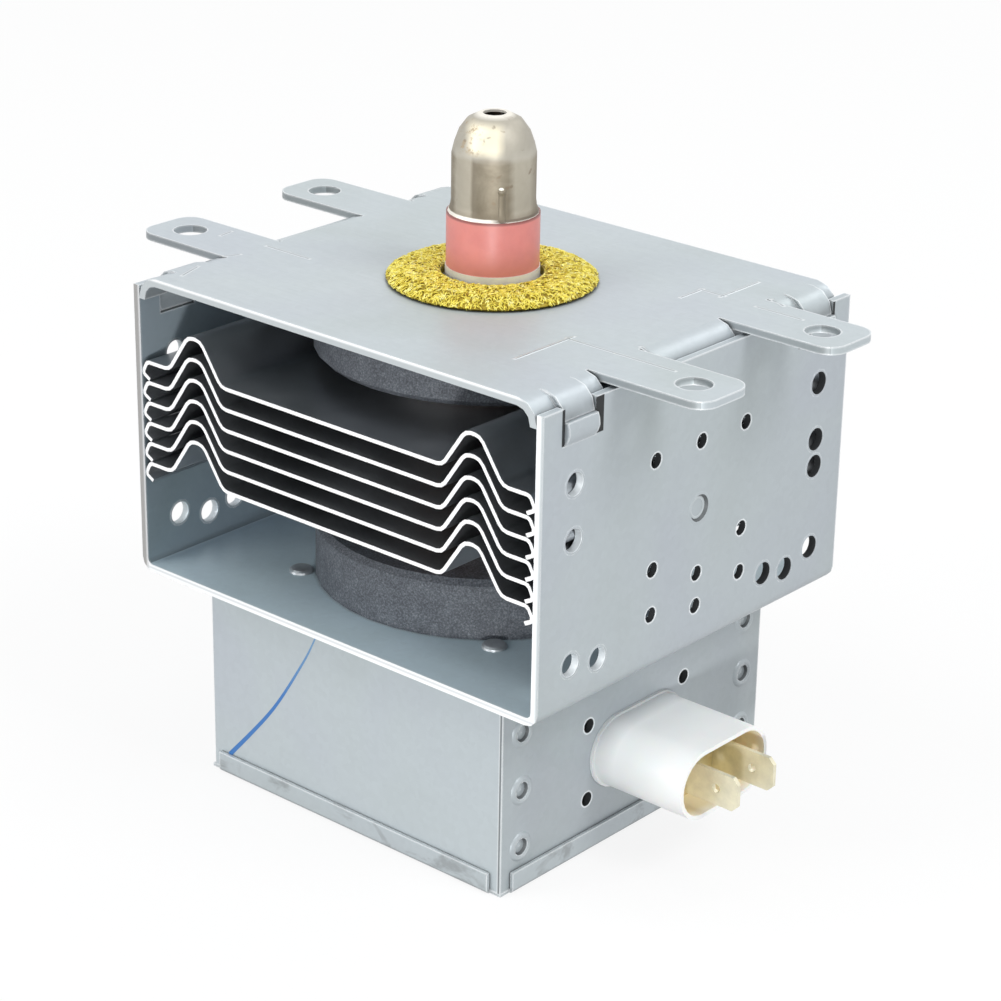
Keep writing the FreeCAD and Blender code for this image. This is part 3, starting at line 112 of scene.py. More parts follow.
def place_camera():
    """The camera, turned and shifted as the photograph was taken."""
    yaw = math.radians(CAMERA_YAW)
    pitch = math.radians(CAMERA_PITCH)
    roll = math.radians(CAMERA_ROLL)
    back = Vector((math.sin(yaw) * math.cos(pitch), -math.cos(yaw) * math.cos(pitch), math.sin(pitch)))
    right = Vector((0, 0, 1)).cross(back).normalized()
    up = back.cross(right)
    rolled_right = right * math.cos(roll) + up * math.sin(roll)
    rolled_up = up * math.cos(roll) - right * math.sin(roll)
    data = bpy.data.cameras.new("camera")
    data.sensor_width = SENSOR
    data.lens = FOCAL_PIXELS / PHOTO_WIDTH * SENSOR
    data.shift_x = (PHOTO_WIDTH / 2 - CENTRE_X) / PHOTO_WIDTH
    data.shift_y = (CENTRE_Y - PHOTO_HEIGHT / 2) / PHOTO_WIDTH
    data.clip_start, data.clip_end = CLIP_RANGE
    camera = bpy.data.objects.new("camera", data)
    scene.collection.objects.link(camera)
    turn = Matrix((rolled_right, rolled_up, back)).transposed().to_4x4()
    camera.matrix_world = Matrix.Translation(Vector(CAMERA_EYE) * MM) @ turn
    scene.camera = camera


# Materials

class Shader:
    """A material with short calls for its nodes."""

    def __init__(self, name):
        self.material = bpy.data.materials.new(name)
        self.material.use_nodes = True
        self.tree = self.material.node_tree
        self.surface = self.tree.nodes["Principled BSDF"]
        self.place = self.node("ShaderNodeTexCoord").outputs["Object"]

    def node(self, kind, **settings):
        made = self.tree.nodes.new(kind)
        for key, value in settings.items():
            setattr(made, key, value)
        return made

    def link(self, source, target):
        if isinstance(source, (int, float, tuple)):
            target.default_value = source
        else:
            self.tree.links.new(source, target)

    def set(self, socket, value):
        self.link(value, self.surface.inputs[socket])

    def math(self, operation, first, second=0.0, third=None, clamp=False):
        made = self.node("ShaderNodeMath", operation=operation, use_clamp=clamp)
        self.link(first, made.inputs[0])
        self.link(second, made.inputs[1])
        if third is not None:
            self.link(third, made.inputs[2])
        return made.outputs[0]

    def scaled(self, factors, turn=(0.0, 0.0, 0.0)):
        made = self.node("ShaderNodeMapping")
        self.link(self.place, made.inputs["Vector"])
        made.inputs["Rotation"].default_value = turn
        made.inputs["Scale"].default_value = factors
        return made.outputs["Vector"]

    def noise(self, scale, detail=3.0, roughness=0.5, place=None, distortion=0.0):
        made = self.node("ShaderNodeTexNoise")
        self.link(place or self.place, made.inputs["Vector"])
        made.inputs["Scale"].default_value = scale
        made.inputs["Detail"].default_value = detail
        made.inputs["Roughness"].default_value = roughness
        made.inputs["Distortion"].default_value = distortion
        return made.outputs["Fac"]

    def cells(self, scale):
        made = self.node("ShaderNodeTexVoronoi")
        self.link(self.place, made.inputs["Vector"])
        made.inputs["Scale"].default_value = scale
        return made

    def ramp(self, value, stops):
        made = self.node("ShaderNodeValToRGB")
        elements = made.color_ramp.elements
        while len(elements) < len(stops):
            elements.new(0.5)
        for element, (position, colour) in zip(elements, stops):
            element.position = position
            element.color = (*colour, 1.0)
        self.link(value, made.inputs["Fac"])
        return made.outputs["Color"]

    def range(self, value, low, high, to_low, to_high):
        made = self.node("ShaderNodeMapRange")
        self.link(value, made.inputs["Value"])
        for socket, number in zip(("From Min", "From Max", "To Min", "To Max"), (low, high, to_low, to_high)):
            made.inputs[socket].default_value = number
        return made.outputs["Result"]

    def mix(self, factor, first, second, blend="MIX"):
        made = self.node("ShaderNodeMix", data_type="RGBA", blend_type=blend)
        self.link(factor, made.inputs["Factor"])
        for colour, socket in ((first, "A"), (second, "B")):
            self.link((*colour, 1.0) if isinstance(colour, tuple) else colour, made.inputs[socket])
        return made.outputs["Result"]

    def over(self, base, colour, amount, share):
        """A colour laid over another, by an amount times a share."""
        return self.mix(self.math("MULTIPLY", amount, share), base, colour)

    def axes(self):
        """The coordinates X, Y and Z of the place, in metres."""
        split = self.node("ShaderNodeSeparateXYZ")
        self.link(self.place, split.inputs[0])
        return split.outputs

    def place_along(self, direction):
        """The distance in millimetres from the axis along a plane direction."""
        at = self.axes()
        first = self.math("MULTIPLY", at["X"], direction[0] / MM)
        return self.math("MULTIPLY_ADD", at["Y"], direction[1] / MM, first)

    def height_mm(self):
        """The height in millimetres over the plate."""
        return self.math("MULTIPLY", self.axes()["Z"], 1 / MM)

    def band(self, value, low, high, soft):
        """One between two values, with soft ends."""
        rise = self.range(value, low - soft, low + soft, 0.0, 1.0)
        fall = self.range(value, high - soft, high + soft, 1.0, 0.0)
        return self.math("MULTIPLY", rise, fall)

    def edges(self, width):
        """One along the edges of a shape, nought on its flat places."""
        rounded = self.node("ShaderNodeBevel", samples=4)
        rounded.inputs["Radius"].default_value = width * MM
        geometry = self.node("ShaderNodeNewGeometry")
        turned = self.node("ShaderNodeVectorMath", operation="DOT_PRODUCT")
        self.link(rounded.outputs["Normal"], turned.inputs[0])
        self.link(geometry.outputs["Normal"], turned.inputs[1])
        return self.range(turned.outputs["Value"], 0.99, 0.93, 0.0, 1.0)

    def crevices(self, reach):
        """One where other surfaces stand close, nought in the open."""
        made = self.node("ShaderNodeAmbientOcclusion", samples=4)
        made.inputs["Distance"].default_value = reach * MM
        return self.range(made.outputs["AO"], 0.35, 0.75, 1.0, 0.0)

    def bump(self, height, strength, distance, normal=None):
        made = self.node("ShaderNodeBump")
        made.inputs["Strength"].default_value = strength
        made.inputs["Distance"].default_value = distance
        self.link(height, made.inputs["Height"])
        if normal is not None:
            self.link(normal, made.inputs["Normal"])
        return made.outputs["Normal"]


def sheet_colour(shader, light, dark, cool):
    """The soft cloudy colour of passivated zinc, with its faint crystal pattern."""
    clouds = shader.noise(26.0, 2.0, 0.55, distortion=0.4)
    tint = shader.ramp(clouds, [(0.35, cool), (0.52, light), (0.68, dark)])
    flakes = shader.range(shader.cells(900.0).outputs["Color"], 0.0, 1.0, 0.975, 1.025)
    return shader.mix(1.0, tint, flakes, "MULTIPLY")


# Light, dark and cool colour of the zinc
ZINC = ((0.60, 0.665, 0.695), (0.565, 0.63, 0.645), (0.585, 0.64, 0.69))
SHEET_METALLIC = 0.25

# Colours laid over it: painted highlights on edges, dirt, painted shade, and seams, then painted bounce light
# and painted shade inside the yoke
EDGE_HIGHLIGHT = (0.95, 0.97, 0.98)
GRIME = (0.20, 0.21, 0.215)
LUG_SIDE_SHADE = (0.17, 0.185, 0.19)
ROLLED_FOOT_SHADE = (0.22, 0.24, 0.25)
CREVICE_SHADE = (0.10, 0.115, 0.125)
SEAM = (0.09, 0.10, 0.11)
GROOVE_SHADE = (0.22, 0.25, 0.27)
# Colours of the painted highlight on the cut edges, and of the greyer and painted-shade parts of it
PLATE_EDGE = (0.52, 0.56, 0.575)
PLATE_EDGE_TOP = (0.97, 0.98, 0.99)
WALL_EDGE_OUTER = (0.50, 0.55, 0.57)
FLOOR_EDGE_MIDDLE = (0.55, 0.58, 0.60)
LEFT_EDGE = (0.66, 0.67, 0.68)
LEFT_EDGE_OUTER = (0.36, 0.355, 0.35)
INNER_FLOOR_LIGHT = (1.26, 1.40, 1.47)
INNER_WALL_SHADE = (0.52, 0.60, 0.65)
UPPER_WALL_SHADE = (0.85, 0.92, 0.97)

# Heights between which the painted shade on the inner wall changes, in millimetres
UPPER_WALL_HEIGHTS = (-32.0, -16.0)


def galvanized(name, level, marks=(), inner=False, ends=None, seam=False, dirty=False):
    """Zinc-plated sheet: satin, cloudy, faintly scratched, with shallow press marks."""
    shader = Shader(name)
    colour = sheet_colour(shader, *(tuple(channel * level for channel in tint) for tint in ZINC))
    if dirty:
        smudge = shader.noise(95.0, 4.0, 0.7, shader.scaled((1.0, 1.0, 2.0)), 0.5)
        colour = shader.mix(shader.range(smudge, 0.50, 0.64, 0.0, 0.55), colour, GRIME)
    # Inside the yoke: painted shade on the walls, deeper low down, and a bluish painted bounce light on the
    # faces that do not face sideways
    if inner:
        upper = shader.range(shader.height_mm(), *UPPER_WALL_HEIGHTS, 0.0, 1.0)
        wall = shader.mix(upper, INNER_WALL_SHADE, UPPER_WALL_SHADE)
        tint = shader.mix(facing(shader, "X", 0.5), INNER_FLOOR_LIGHT, wall)
        colour = shader.mix(inside_yoke(shader), colour, shader.mix(1.0, colour, tint, "MULTIPLY"))
    if marks:
        # Painted shade on the lugs' long sides
        colour = shader.over(colour, LUG_SIDE_SHADE, lug_sides(shader), 0.6)
        # Painted shade at the foot of the rolled edge, in patches
        foot = shader.range(shader.height_mm(), PLATE_FOOT, PLATE_FOOT - FOOT_FADE, 0.0, 0.8)
        patches = shader.range(shader.noise(150.0, 3.0, 0.6), 0.35, 0.6, 0.6, 1.0)
        colour = shader.over(colour, ROLLED_FOOT_SHADE, foot, patches)
    # Painted shade where other surfaces stand close
    colour = shader.over(colour, CREVICE_SHADE, shader.crevices(1.6), 0.75)
    # Painted highlight along every edge
    colour = shader.over(colour, EDGE_HIGHLIGHT, shader.edges(0.55), 0.7)
    # Painted highlight on the cut edges at the open ends
    if ends:
        colour = bright_ends(shader, cut_edge(shader, marks), colour, ends)
    if seam:
        colour = shader.over(colour, SEAM, panel_seam(shader), 0.8)
    scratch = shader.noise(90.0, 4.0, 0.6, shader.scaled((1.0, 14.0, 14.0), (0.0, 0.0, 0.35)))
    grain = shader.math("MULTIPLY", shader.noise(2600.0, 2.0), 0.25)
    normal = shader.bump(shader.math("MULTIPLY_ADD", scratch, 0.3, grain), 0.12, 0.00012)
    if marks:
        colour, normal = press_marks(shader, marks, colour, normal)
    shader.set("Base Color", colour)
    shader.set("Metallic", SHEET_METALLIC)
    shader.set("Roughness", shader.range(scratch, 0.3, 0.7, 0.34, 0.46))
    shader.set("Normal", normal)
    return shader.material


def press_marks(shader, marks, colour, normal):
    """The colour and normal of the plate with straight grooves on its top: painted shade in them and a
    painted highlight beside them.
    """
    at = shader.axes()
    total = None
    for mark in marks:
        line = segment_mask(shader, at, mark)
        total = line if total is None else shader.math("MAXIMUM", total, line)
    normal = shader.bump(total, 0.9, 0.00025, normal)
    top = shader.range(at["Z"], -0.3 * MM, -0.1 * MM, 0.0, 1.0)
    # Painted highlight on the grooves' flanks
    flank_highlight = shader.math("MULTIPLY", shader.band(total, 0.15, 0.62, 0.12), shader.math("MULTIPLY", top, 0.5))
    colour = shader.mix(flank_highlight, colour, EDGE_HIGHLIGHT)
    # Painted shade in the grooves
    colour = shader.over(colour, GROOVE_SHADE, shader.range(total, 0.72, 0.92, 0.0, 0.6), top)
    return colour, normal


def facing(shader, axis, least):
    """One where the surface faces along an axis, either way."""
    geometry = shader.node("ShaderNodeNewGeometry")
    split = shader.node("ShaderNodeSeparateXYZ")
    shader.link(geometry.outputs["True Normal"], split.inputs[0])
    return shader.math("GREATER_THAN", shader.math("ABSOLUTE", split.outputs[axis]), least)


def lug_sides(shader):
    """One on the long sides of the mounting lugs, where painted shade goes."""
    at = shader.axes()
    beyond = shader.math("GREATER_THAN", shader.math("ABSOLUTE", at["X"]), LUGS_FROM * MM)
    high = shader.math("GREATER_THAN", at["Z"], PLATE_FOOT * MM)
    return shader.math("MULTIPLY", facing(shader, "Y", 0.8), shader.math("MULTIPLY", beyond, high))


def inside_yoke(shader):
    """One on the surfaces inside the yoke, where painted shade and a bluish painted bounce light go."""
    at = shader.axes()
    across = shader.math("LESS_THAN", shader.math("ABSOLUTE", at["X"]), INSIDE_WALLS * MM)
    below = shader.math("LESS_THAN", at["Z"], UNDER_PLATE * MM)
    above = shader.math("GREATER_THAN", at["Z"], ABOVE_FLOOR * MM)
    return shader.math("MULTIPLY", across, shader.math("MULTIPLY", below, above))


def panel_seam(shader):
    """One along the upright seam where the side panel meets the front of the filter box."""
    aside = shader.math("ABSOLUTE", shader.math("SUBTRACT", shader.axes()["X"], SEAM_X * MM))
    line = shader.range(aside, 0.1 * MM, 0.25 * MM, 1.0, 0.0)
    return shader.math("MULTIPLY", facing(shader, "Y", 0.9), line)


def segment_mask(shader, at, mark):
    """One near a straight mark on the plate's top, falling to nought beside it."""
    x0, y0, x1, y1, half = (value * MM for value in (*mark, MARK_HALF))
    length = math.hypot(x1 - x0, y1 - y0)
    along_x, along_y = (x1 - x0) / length, (y1 - y0) / length
    dx = shader.math("SUBTRACT", at["X"], x0)
    dy = shader.math("SUBTRACT", at["Y"], y0)
    along = shader.math("MULTIPLY_ADD", dx, along_x, shader.math("MULTIPLY", dy, along_y))
    across = shader.math("MULTIPLY_ADD", dx, along_y, shader.math("MULTIPLY", dy, -along_x))
    from_middle = shader.math("ABSOLUTE", shader.math("SUBTRACT", along, length / 2))
    beyond = shader.math("SUBTRACT", from_middle, length / 2)
    far = shader.math("MAXIMUM", shader.math("ABSOLUTE", across), shader.math("MULTIPLY", beyond, 0.5))
    return shader.range(far, 0.0, half, 1.0, 0.0)


def cut_edge(shader, on_plate):
    """The painted highlight on the sheet's cut edge, near white: greyer on the plate with a brighter top
    line, with painted shade on the walls' outer side and at the left, and greyer along a line at the floor.
    """
    at = shader.axes()

    def share(axis, start, end):
        """Nought to one between two places along an axis, in millimetres."""
        return shader.range(at[axis], start * MM, end * MM, 0.0, 1.0)

    if on_plate:
        return shader.mix(share("Z", -0.6, -0.2), PLATE_EDGE, PLATE_EDGE_TOP)
    bright = shader.over(EDGE_HIGHLIGHT, WALL_EDGE_OUTER, share("X", 46.6, 47.0), 0.85)
    from_line = shader.math("ABSOLUTE", shader.math("SUBTRACT", at["Z"], FLOOR_LINE * MM))
    line = shader.range(from_line, 0.1 * MM, 0.3 * MM, 0.5, 0.0)
    bright = shader.mix(line, bright, FLOOR_EDGE_MIDDLE)
    left = shader.mix(share("X", -46.4, -46.1), LEFT_EDGE_OUTER, LEFT_EDGE)
    return shader.mix(share("X", -45.5, -45.9), bright, left)


def bright_ends(shader, colour, plain, end):
    """Another value on the sheet's cut edges at the two open ends; in the colour it is a painted highlight.
    """
    near = shader.math("GREATER_THAN", shader.math("ABSOLUTE", shader.axes()["Y"]), end * MM)
    return shader.mix(shader.math("MULTIPLY", facing(shader, "Y", 0.9), near), plain, colour)


def fin_metal():
    """Thin bright aluminium with a dull face, and a painted highlight on its cut edges at the open ends:
    white and not metallic there.
    """
    shader = Shader("fin_aluminium")
    cloud = shader.noise(60.0, 3.0)
    face = shader.ramp(cloud, [(0.3, (0.35, 0.37, 0.39)), (0.7, (0.45, 0.47, 0.49))])
    # Painted highlight: white, not metallic, on the cut edges at the open ends
    shader.set("Base Color", bright_ends(shader, (1.0, 1.0, 1.0), face, YOKE_ENDS))
    shader.set("Metallic", bright_ends(shader, (0.0, 0.0, 0.0), (0.95, 0.95, 0.95), YOKE_ENDS))
    shader.set("Roughness", shader.range(cloud, 0.3, 0.7, 0.30, 0.42))
    lines = shader.noise(400.0, 3.0, 0.6, shader.scaled((1.0, 20.0, 1.0)))
    shader.set("Normal", shader.bump(lines, 0.1, 0.0001))
    return shader.material


def ferrite():
    """Dark ground ferrite with fine grey speckles."""
    shader = Shader("ferrite")
    fine = shader.noise(3000.0, 3.0, 0.7)
    broad = shader.noise(350.0, 3.0, 0.6)
    colour = shader.ramp(fine, [(0.30, (0.036, 0.041, 0.049)), (0.5, (0.080, 0.090, 0.105)),
                                (0.72, (0.195, 0.21, 0.235))])
    shade = shader.ramp(broad, [(0.3, (0.75, 0.75, 0.77)), (0.7, (1.15, 1.15, 1.15))])
    shader.set("Base Color", shader.mix(1.0, colour, shade, "MULTIPLY"))
    shader.set("Roughness", 0.62)
    shader.set("Specular IOR Level", 0.6)
    shader.set("Normal", shader.bump(shader.math("ADD", fine, broad), 0.35, 0.0002))
    return shader.material


def knitted_brass(name, low, middle, high):
    """Gold-coloured wire, brighter and darker from loop to loop."""
    shader = Shader(name)
    patch = shader.noise(900.0, 3.0, 0.7)
    colour = shader.ramp(patch, [(0.30, low), (0.5, middle), (0.70, high)])
    shader.set("Base Color", colour)
    shader.set("Metallic", 0.35)
    shader.set("Roughness", 0.34)
    weave = shader.cells(1500.0)
    height = shader.math("ADD", shader.noise(2500.0, 2.0), weave.outputs["Distance"])
    shader.set("Normal", shader.bump(height, 0.7, 0.0003))
    return shader.material


def nickel():
    """Nickel plate with brown stains, darker towards its foot, with painted highlight rings on its cone and
    top, painted highlight and painted shade on its lip, painted highlights on its edges, and painted
    reflections, a painted highlight and painted shade on the side that carries its seam.
    """
    shader = Shader("stained_nickel_painted_light")
    stain = shader.noise(120.0, 4.0, 0.65, distortion=0.6)
    speckle = shader.noise(850.0, 3.0, 0.7)
    across = shader.math("MULTIPLY_ADD", stain, 1.2, shader.math("SUBTRACT", shader.place_along(ACROSS), 0.6))
    outward = shader.range(shader.place_along(OUTWARD), -1.0, 2.0, 0.0, 1.0)
    height = shader.math("MULTIPLY_ADD", stain, 0.9, shader.math("SUBTRACT", shader.height_mm(), 0.45))

    def patch(left, right, side_soft, low, high, end_soft):
        """One on a patch of the seam's side, between two places across it and two heights, in millimetres."""
        aside = shader.band(across, left, right, side_soft)
        made = shader.math("MULTIPLY", aside, shader.band(height, low, high, end_soft))
        return shader.math("MULTIPLY", made, outward)

    plain = shader.ramp(stain, [(0.35, (0.195, 0.163, 0.115)), (0.55, (0.262, 0.229, 0.171)),
                                (0.75, (0.335, 0.30, 0.236))])
    colour = shader.over(plain, (0.135, 0.108, 0.070), shader.range(height, 13.0, 21.0, 1.0, 0.0), 0.45)
    # Painted reflections: light bands up both flanks of the seam's side, and a dark band beside the near one
    near_reflection = patch(-6.7, -3.8, 0.3, 13.0, 24.0, 0.8)
    far_reflection = patch(3.2, 6.8, 0.6, 13.0, 24.0, 0.8)
    colour = shader.over(colour, (0.60, 0.56, 0.47), shader.math("ADD", near_reflection, far_reflection), 0.5)
    colour = shader.over(colour, (0.22, 0.19, 0.145), patch(-3.6, -3.0, 0.25, 13.0, 24.2, 0.5), 0.5)
    # Painted highlights: a lighter ring on the cone and a broad patch on it, with painted shade in a band
    # just under the patch
    colour = shader.over(colour, (0.54, 0.52, 0.46), shader.band(height, 23.0, 40.0, 0.5), 0.55)
    colour = shader.over(colour, (0.90, 0.83, 0.64), patch(-4.3, 1.2, 0.8, 24.1, 28.7, 0.7), 0.85)
    colour = shader.over(colour, (0.25, 0.215, 0.16), patch(-2.0, 2.2, 0.8, 22.6, 23.5, 0.4), 0.5)
    brown = shader.math("MULTIPLY", shader.range(speckle, 0.50, 0.62, 0.0, 0.8),
                        shader.band(height, 24.0, 29.2, 0.6))
    colour = shader.over(colour, (0.40, 0.31, 0.20), brown, shader.band(across, -6.4, -2.2, 0.8))
    # Painted highlight on the lip on one side of the seam's plane, painted shade on the other
    lip_light_and_shade = shader.mix(shader.range(across, -0.5, 1.0, 1.0, 0.0), (0.16, 0.13, 0.10), (0.95, 0.92, 0.84))
    colour = shader.over(colour, lip_light_and_shade, shader.band(shader.height_mm(), 12.3, 12.95, 0.08), 0.85)
    dots = shader.range(shader.noise(420.0, 2.0, 0.5), 0.66, 0.71, 0.0, 0.7)
    colour = shader.mix(dots, colour, (0.20, 0.15, 0.10))
    # Painted highlights: near white over the top, and along the edges
    colour = shader.mix(shader.range(shader.height_mm(), 29.2, 29.7, 0.0, 0.8), colour, (0.97, 0.94, 0.86))
    colour = shader.over(colour, (0.98, 0.95, 0.88), shader.edges(0.25), 0.8)
    shader.set("Base Color", colour)
    shader.set("Metallic", 0.5)
    shader.set("Roughness", shader.range(stain, 0.3, 0.7, 0.58, 0.46))
    fine = shader.noise(1200.0, 3.0, 0.6, shader.scaled((1.0, 1.0, 5.0)))
    shader.set("Normal", shader.bump(shader.math("ADD", fine, stain), 0.15, 0.0002))
    return shader.material


def plain_metal(name, colour, roughness, metallic=1.0, spread=0.12):
    """A plated or drawn metal with slight cloudiness."""
    shader = Shader(name)
    cloud = shader.noise(180.0, 4.0, 0.6)
    darker = tuple(channel * (1 - spread) for channel in colour)
    lighter = tuple(min(1.0, channel * (1 + spread)) for channel in colour)
    shader.set("Base Color", shader.ramp(cloud, [(0.35, darker), (0.65, lighter)]))
    shader.set("Metallic", metallic)
    shader.set("Roughness", shader.range(cloud, 0.3, 0.7, roughness, roughness + 0.12))
    shader.set("Normal", shader.bump(shader.noise(1800.0, 3.0), 0.08, 0.0001))
    return shader.material


def ceramic(name, colour, dark, line_above=None):
    """Fired ceramic with faint mottling under its glaze, and a painted shadow just under a joint above it."""
    shader = Shader(name)
    cloud = shader.noise(170.0, 4.0, 0.6)
    speck = shader.noise(1400.0, 2.0, 0.6)
    base = shader.ramp(cloud, [(0.32, dark), (0.62, colour)])
    base = shader.mix(shader.range(speck, 0.62, 0.75, 0.0, 0.35), base, dark)
    if line_above is not None:
        # A painted shadow just under the joint
        lip_shadow = shader.range(shader.height_mm(), line_above - 0.55, line_above - 0.2, 0.0, 0.75)
        base = shader.mix(lip_shadow, base, (0.16, 0.05, 0.045))
    shader.set("Base Color", base)
    shader.set("Roughness", shader.range(cloud, 0.3, 0.7, 0.34, 0.46))
    shader.set("Subsurface Weight", 0.08)
    shader.set("Subsurface Scale", 0.001)
    shader.set("Normal", shader.bump(shader.noise(700.0, 3.0), 0.10, 0.0001))
    return shader.material


def white_plastic():
    """Moulded white plastic, slightly glossy, tanned by the potting in its mouth, with a painted shadow at
    its root, deepest on its upper side.
    """
    shader = Shader("white_plastic")
    at = shader.axes()
    cloud = shader.noise(90.0, 2.0)
    white = shader.ramp(cloud, [(0.35, (0.96, 0.965, 0.96)), (0.65, (1.0, 1.0, 0.99))])
    aside = shader.math("SUBTRACT", shader.math("ABSOLUTE", at["Y"]), SHELL_ARC_Y * MM)
    aside = shader.math("MAXIMUM", aside, 0.0)
    rise = shader.math("SUBTRACT", at["Z"], CAPACITOR_Z * MM)
    square = shader.math("MULTIPLY_ADD", aside, aside, shader.math("MULTIPLY", rise, rise))
    within = shader.math("LESS_THAN", shader.math("SQRT", square), (SHELL_BORE + 0.1) * MM)
    deep = shader.range(at["X"], 55.3 * MM, 52.5 * MM, 0.0, 1.0)
    tanned = shader.math("MULTIPLY", within, shader.math("MULTIPLY_ADD", cloud, 0.5, deep), clamp=True)
    white = shader.over(white, (0.82, 0.70, 0.44), tanned, 0.8)
    # A painted shadow at the root, under the wall's overhang
    root = shader.range(at["X"], 36.2 * MM, 40.5 * MM, 0.90, 0.0)
    upper = shader.range(at["Z"], -81.0 * MM, -72.5 * MM, 0.25, 1.0)
    white = shader.over(white, (0.46, 0.48, 0.49), root, upper)
    shader.set("Base Color", white)
    shader.set("Roughness", shader.range(cloud, 0.3, 0.7, 0.30, 0.40))
    shader.set("Subsurface Weight", 0.12)
    shader.set("Subsurface Scale", 0.002)
    shader.set("Normal", shader.bump(shader.noise(900.0, 3.0), 0.06, 0.0001))
    return shader.material


def epoxy():
    """Cast tan potting with uneven colour and a wetted surface."""
    shader = Shader("tan_epoxy")
    cloud = shader.noise(240.0, 4.0, 0.6)
    shader.set("Base Color", shader.ramp(cloud, [(0.3, (0.68, 0.54, 0.24)), (0.7, (0.87, 0.77, 0.45))]))
    shader.set("Roughness", shader.range(cloud, 0.3, 0.7, 0.28, 0.5))
    shader.set("Normal", shader.bump(cloud, 0.35, 0.0006))
    return shader.material


def pen_ink():
    """Blue marker, paler where the stroke starts."""
    shader = Shader("pen_ink")
    down = shader.range(shader.axes()["Z"], -58.0 * MM, -80.0 * MM, 0.0, 1.0)
    amount = shader.math("MULTIPLY_ADD", shader.noise(1500.0, 3.0), 0.5, down)
    shader.set("Base Color", shader.ramp(amount, [(0.2, (0.20, 0.37, 0.56)), (1.0, (0.04, 0.17, 0.46))]))
    shader.set("Roughness", 0.5)
    return shader.material


def dress(names, material):
    """Gives CAD nodes one material."""
    for name in names:
        mesh = nodes[name].data
        mesh.materials.clear()
        mesh.materials.append(material)


# Degrees above which an edge stays sharp, and metres within which vertices join
SHARP_FROM = 41
JOIN_WITHIN = 2e-6


def soft_edges():
    """A modifier that joins a node's faces and smooths the shading of its small bends."""
    tree = bpy.data.node_groups.new("soft_edges", "GeometryNodeTree")
    tree.interface.new_socket("Geometry", in_out="INPUT", socket_type="NodeSocketGeometry")
    tree.interface.new_socket("Geometry", in_out="OUTPUT", socket_type="NodeSocketGeometry")
    made = tree.nodes.new
    link = tree.links.new
    start = made("NodeGroupInput")
    end = made("NodeGroupOutput")
    merge = made("GeometryNodeMergeByDistance")
    merge.inputs["Distance"].default_value = JOIN_WITHIN
    smooth = made("GeometryNodeSetShadeSmooth")
    sharp = made("GeometryNodeSetShadeSmooth")
    sharp.domain = "EDGE"
    sharp.inputs["Shade Smooth"].default_value = False
    angle = made("GeometryNodeInputMeshEdgeAngle")
    limit = made("FunctionNodeCompare")
    limit.data_type = "FLOAT"
    limit.operation = "GREATER_THAN"
    limit.inputs[1].default_value = math.radians(SHARP_FROM)
    link(start.outputs[0], merge.inputs["Geometry"])
    link(merge.outputs["Geometry"], smooth.inputs["Geometry"])
    link(smooth.outputs["Geometry"], sharp.inputs["Geometry"])
    link(angle.outputs["Unsigned Angle"], limit.inputs[0])
    link(limit.outputs[0], sharp.inputs["Selection"])
    link(sharp.outputs["Geometry"], end.inputs[0])
    for node in nodes.values():
        attribute = node.data.attributes.get("custom_normal")
        if attribute is not None:
            node.data.attributes.remove(attribute)
        modifier = node.modifiers.new("soft_edges", "NODES")
        modifier.node_group = tree


# Straight marks on the plate's top, from one end to the other, and half their width
MARK_HALF = 0.45
PLATE_MARKS = [
    (30.0, -28.0, 30.0, -14.0), (30.0, -15.0, 52.0, -15.0),
    (30.3, 15.0, 30.3, 20.5), (30.5, 20.5, 35.0, 20.5), (35.0, 20.0, 35.0, 30.3), (43.0, 19.8, 52.0, 19.8),
    (-41.0, -14.5, -31.0, -14.5), (41.6, -9.9, 45.3, -10.6), (42.6, 24.9, 45.5, 23.5),
    (-40.0, -36.2, -41.5, -31.5), (-51.8, -15.6, -52.1, -13.3), (-42.4, -23.7, -41.4, -21.6),
]


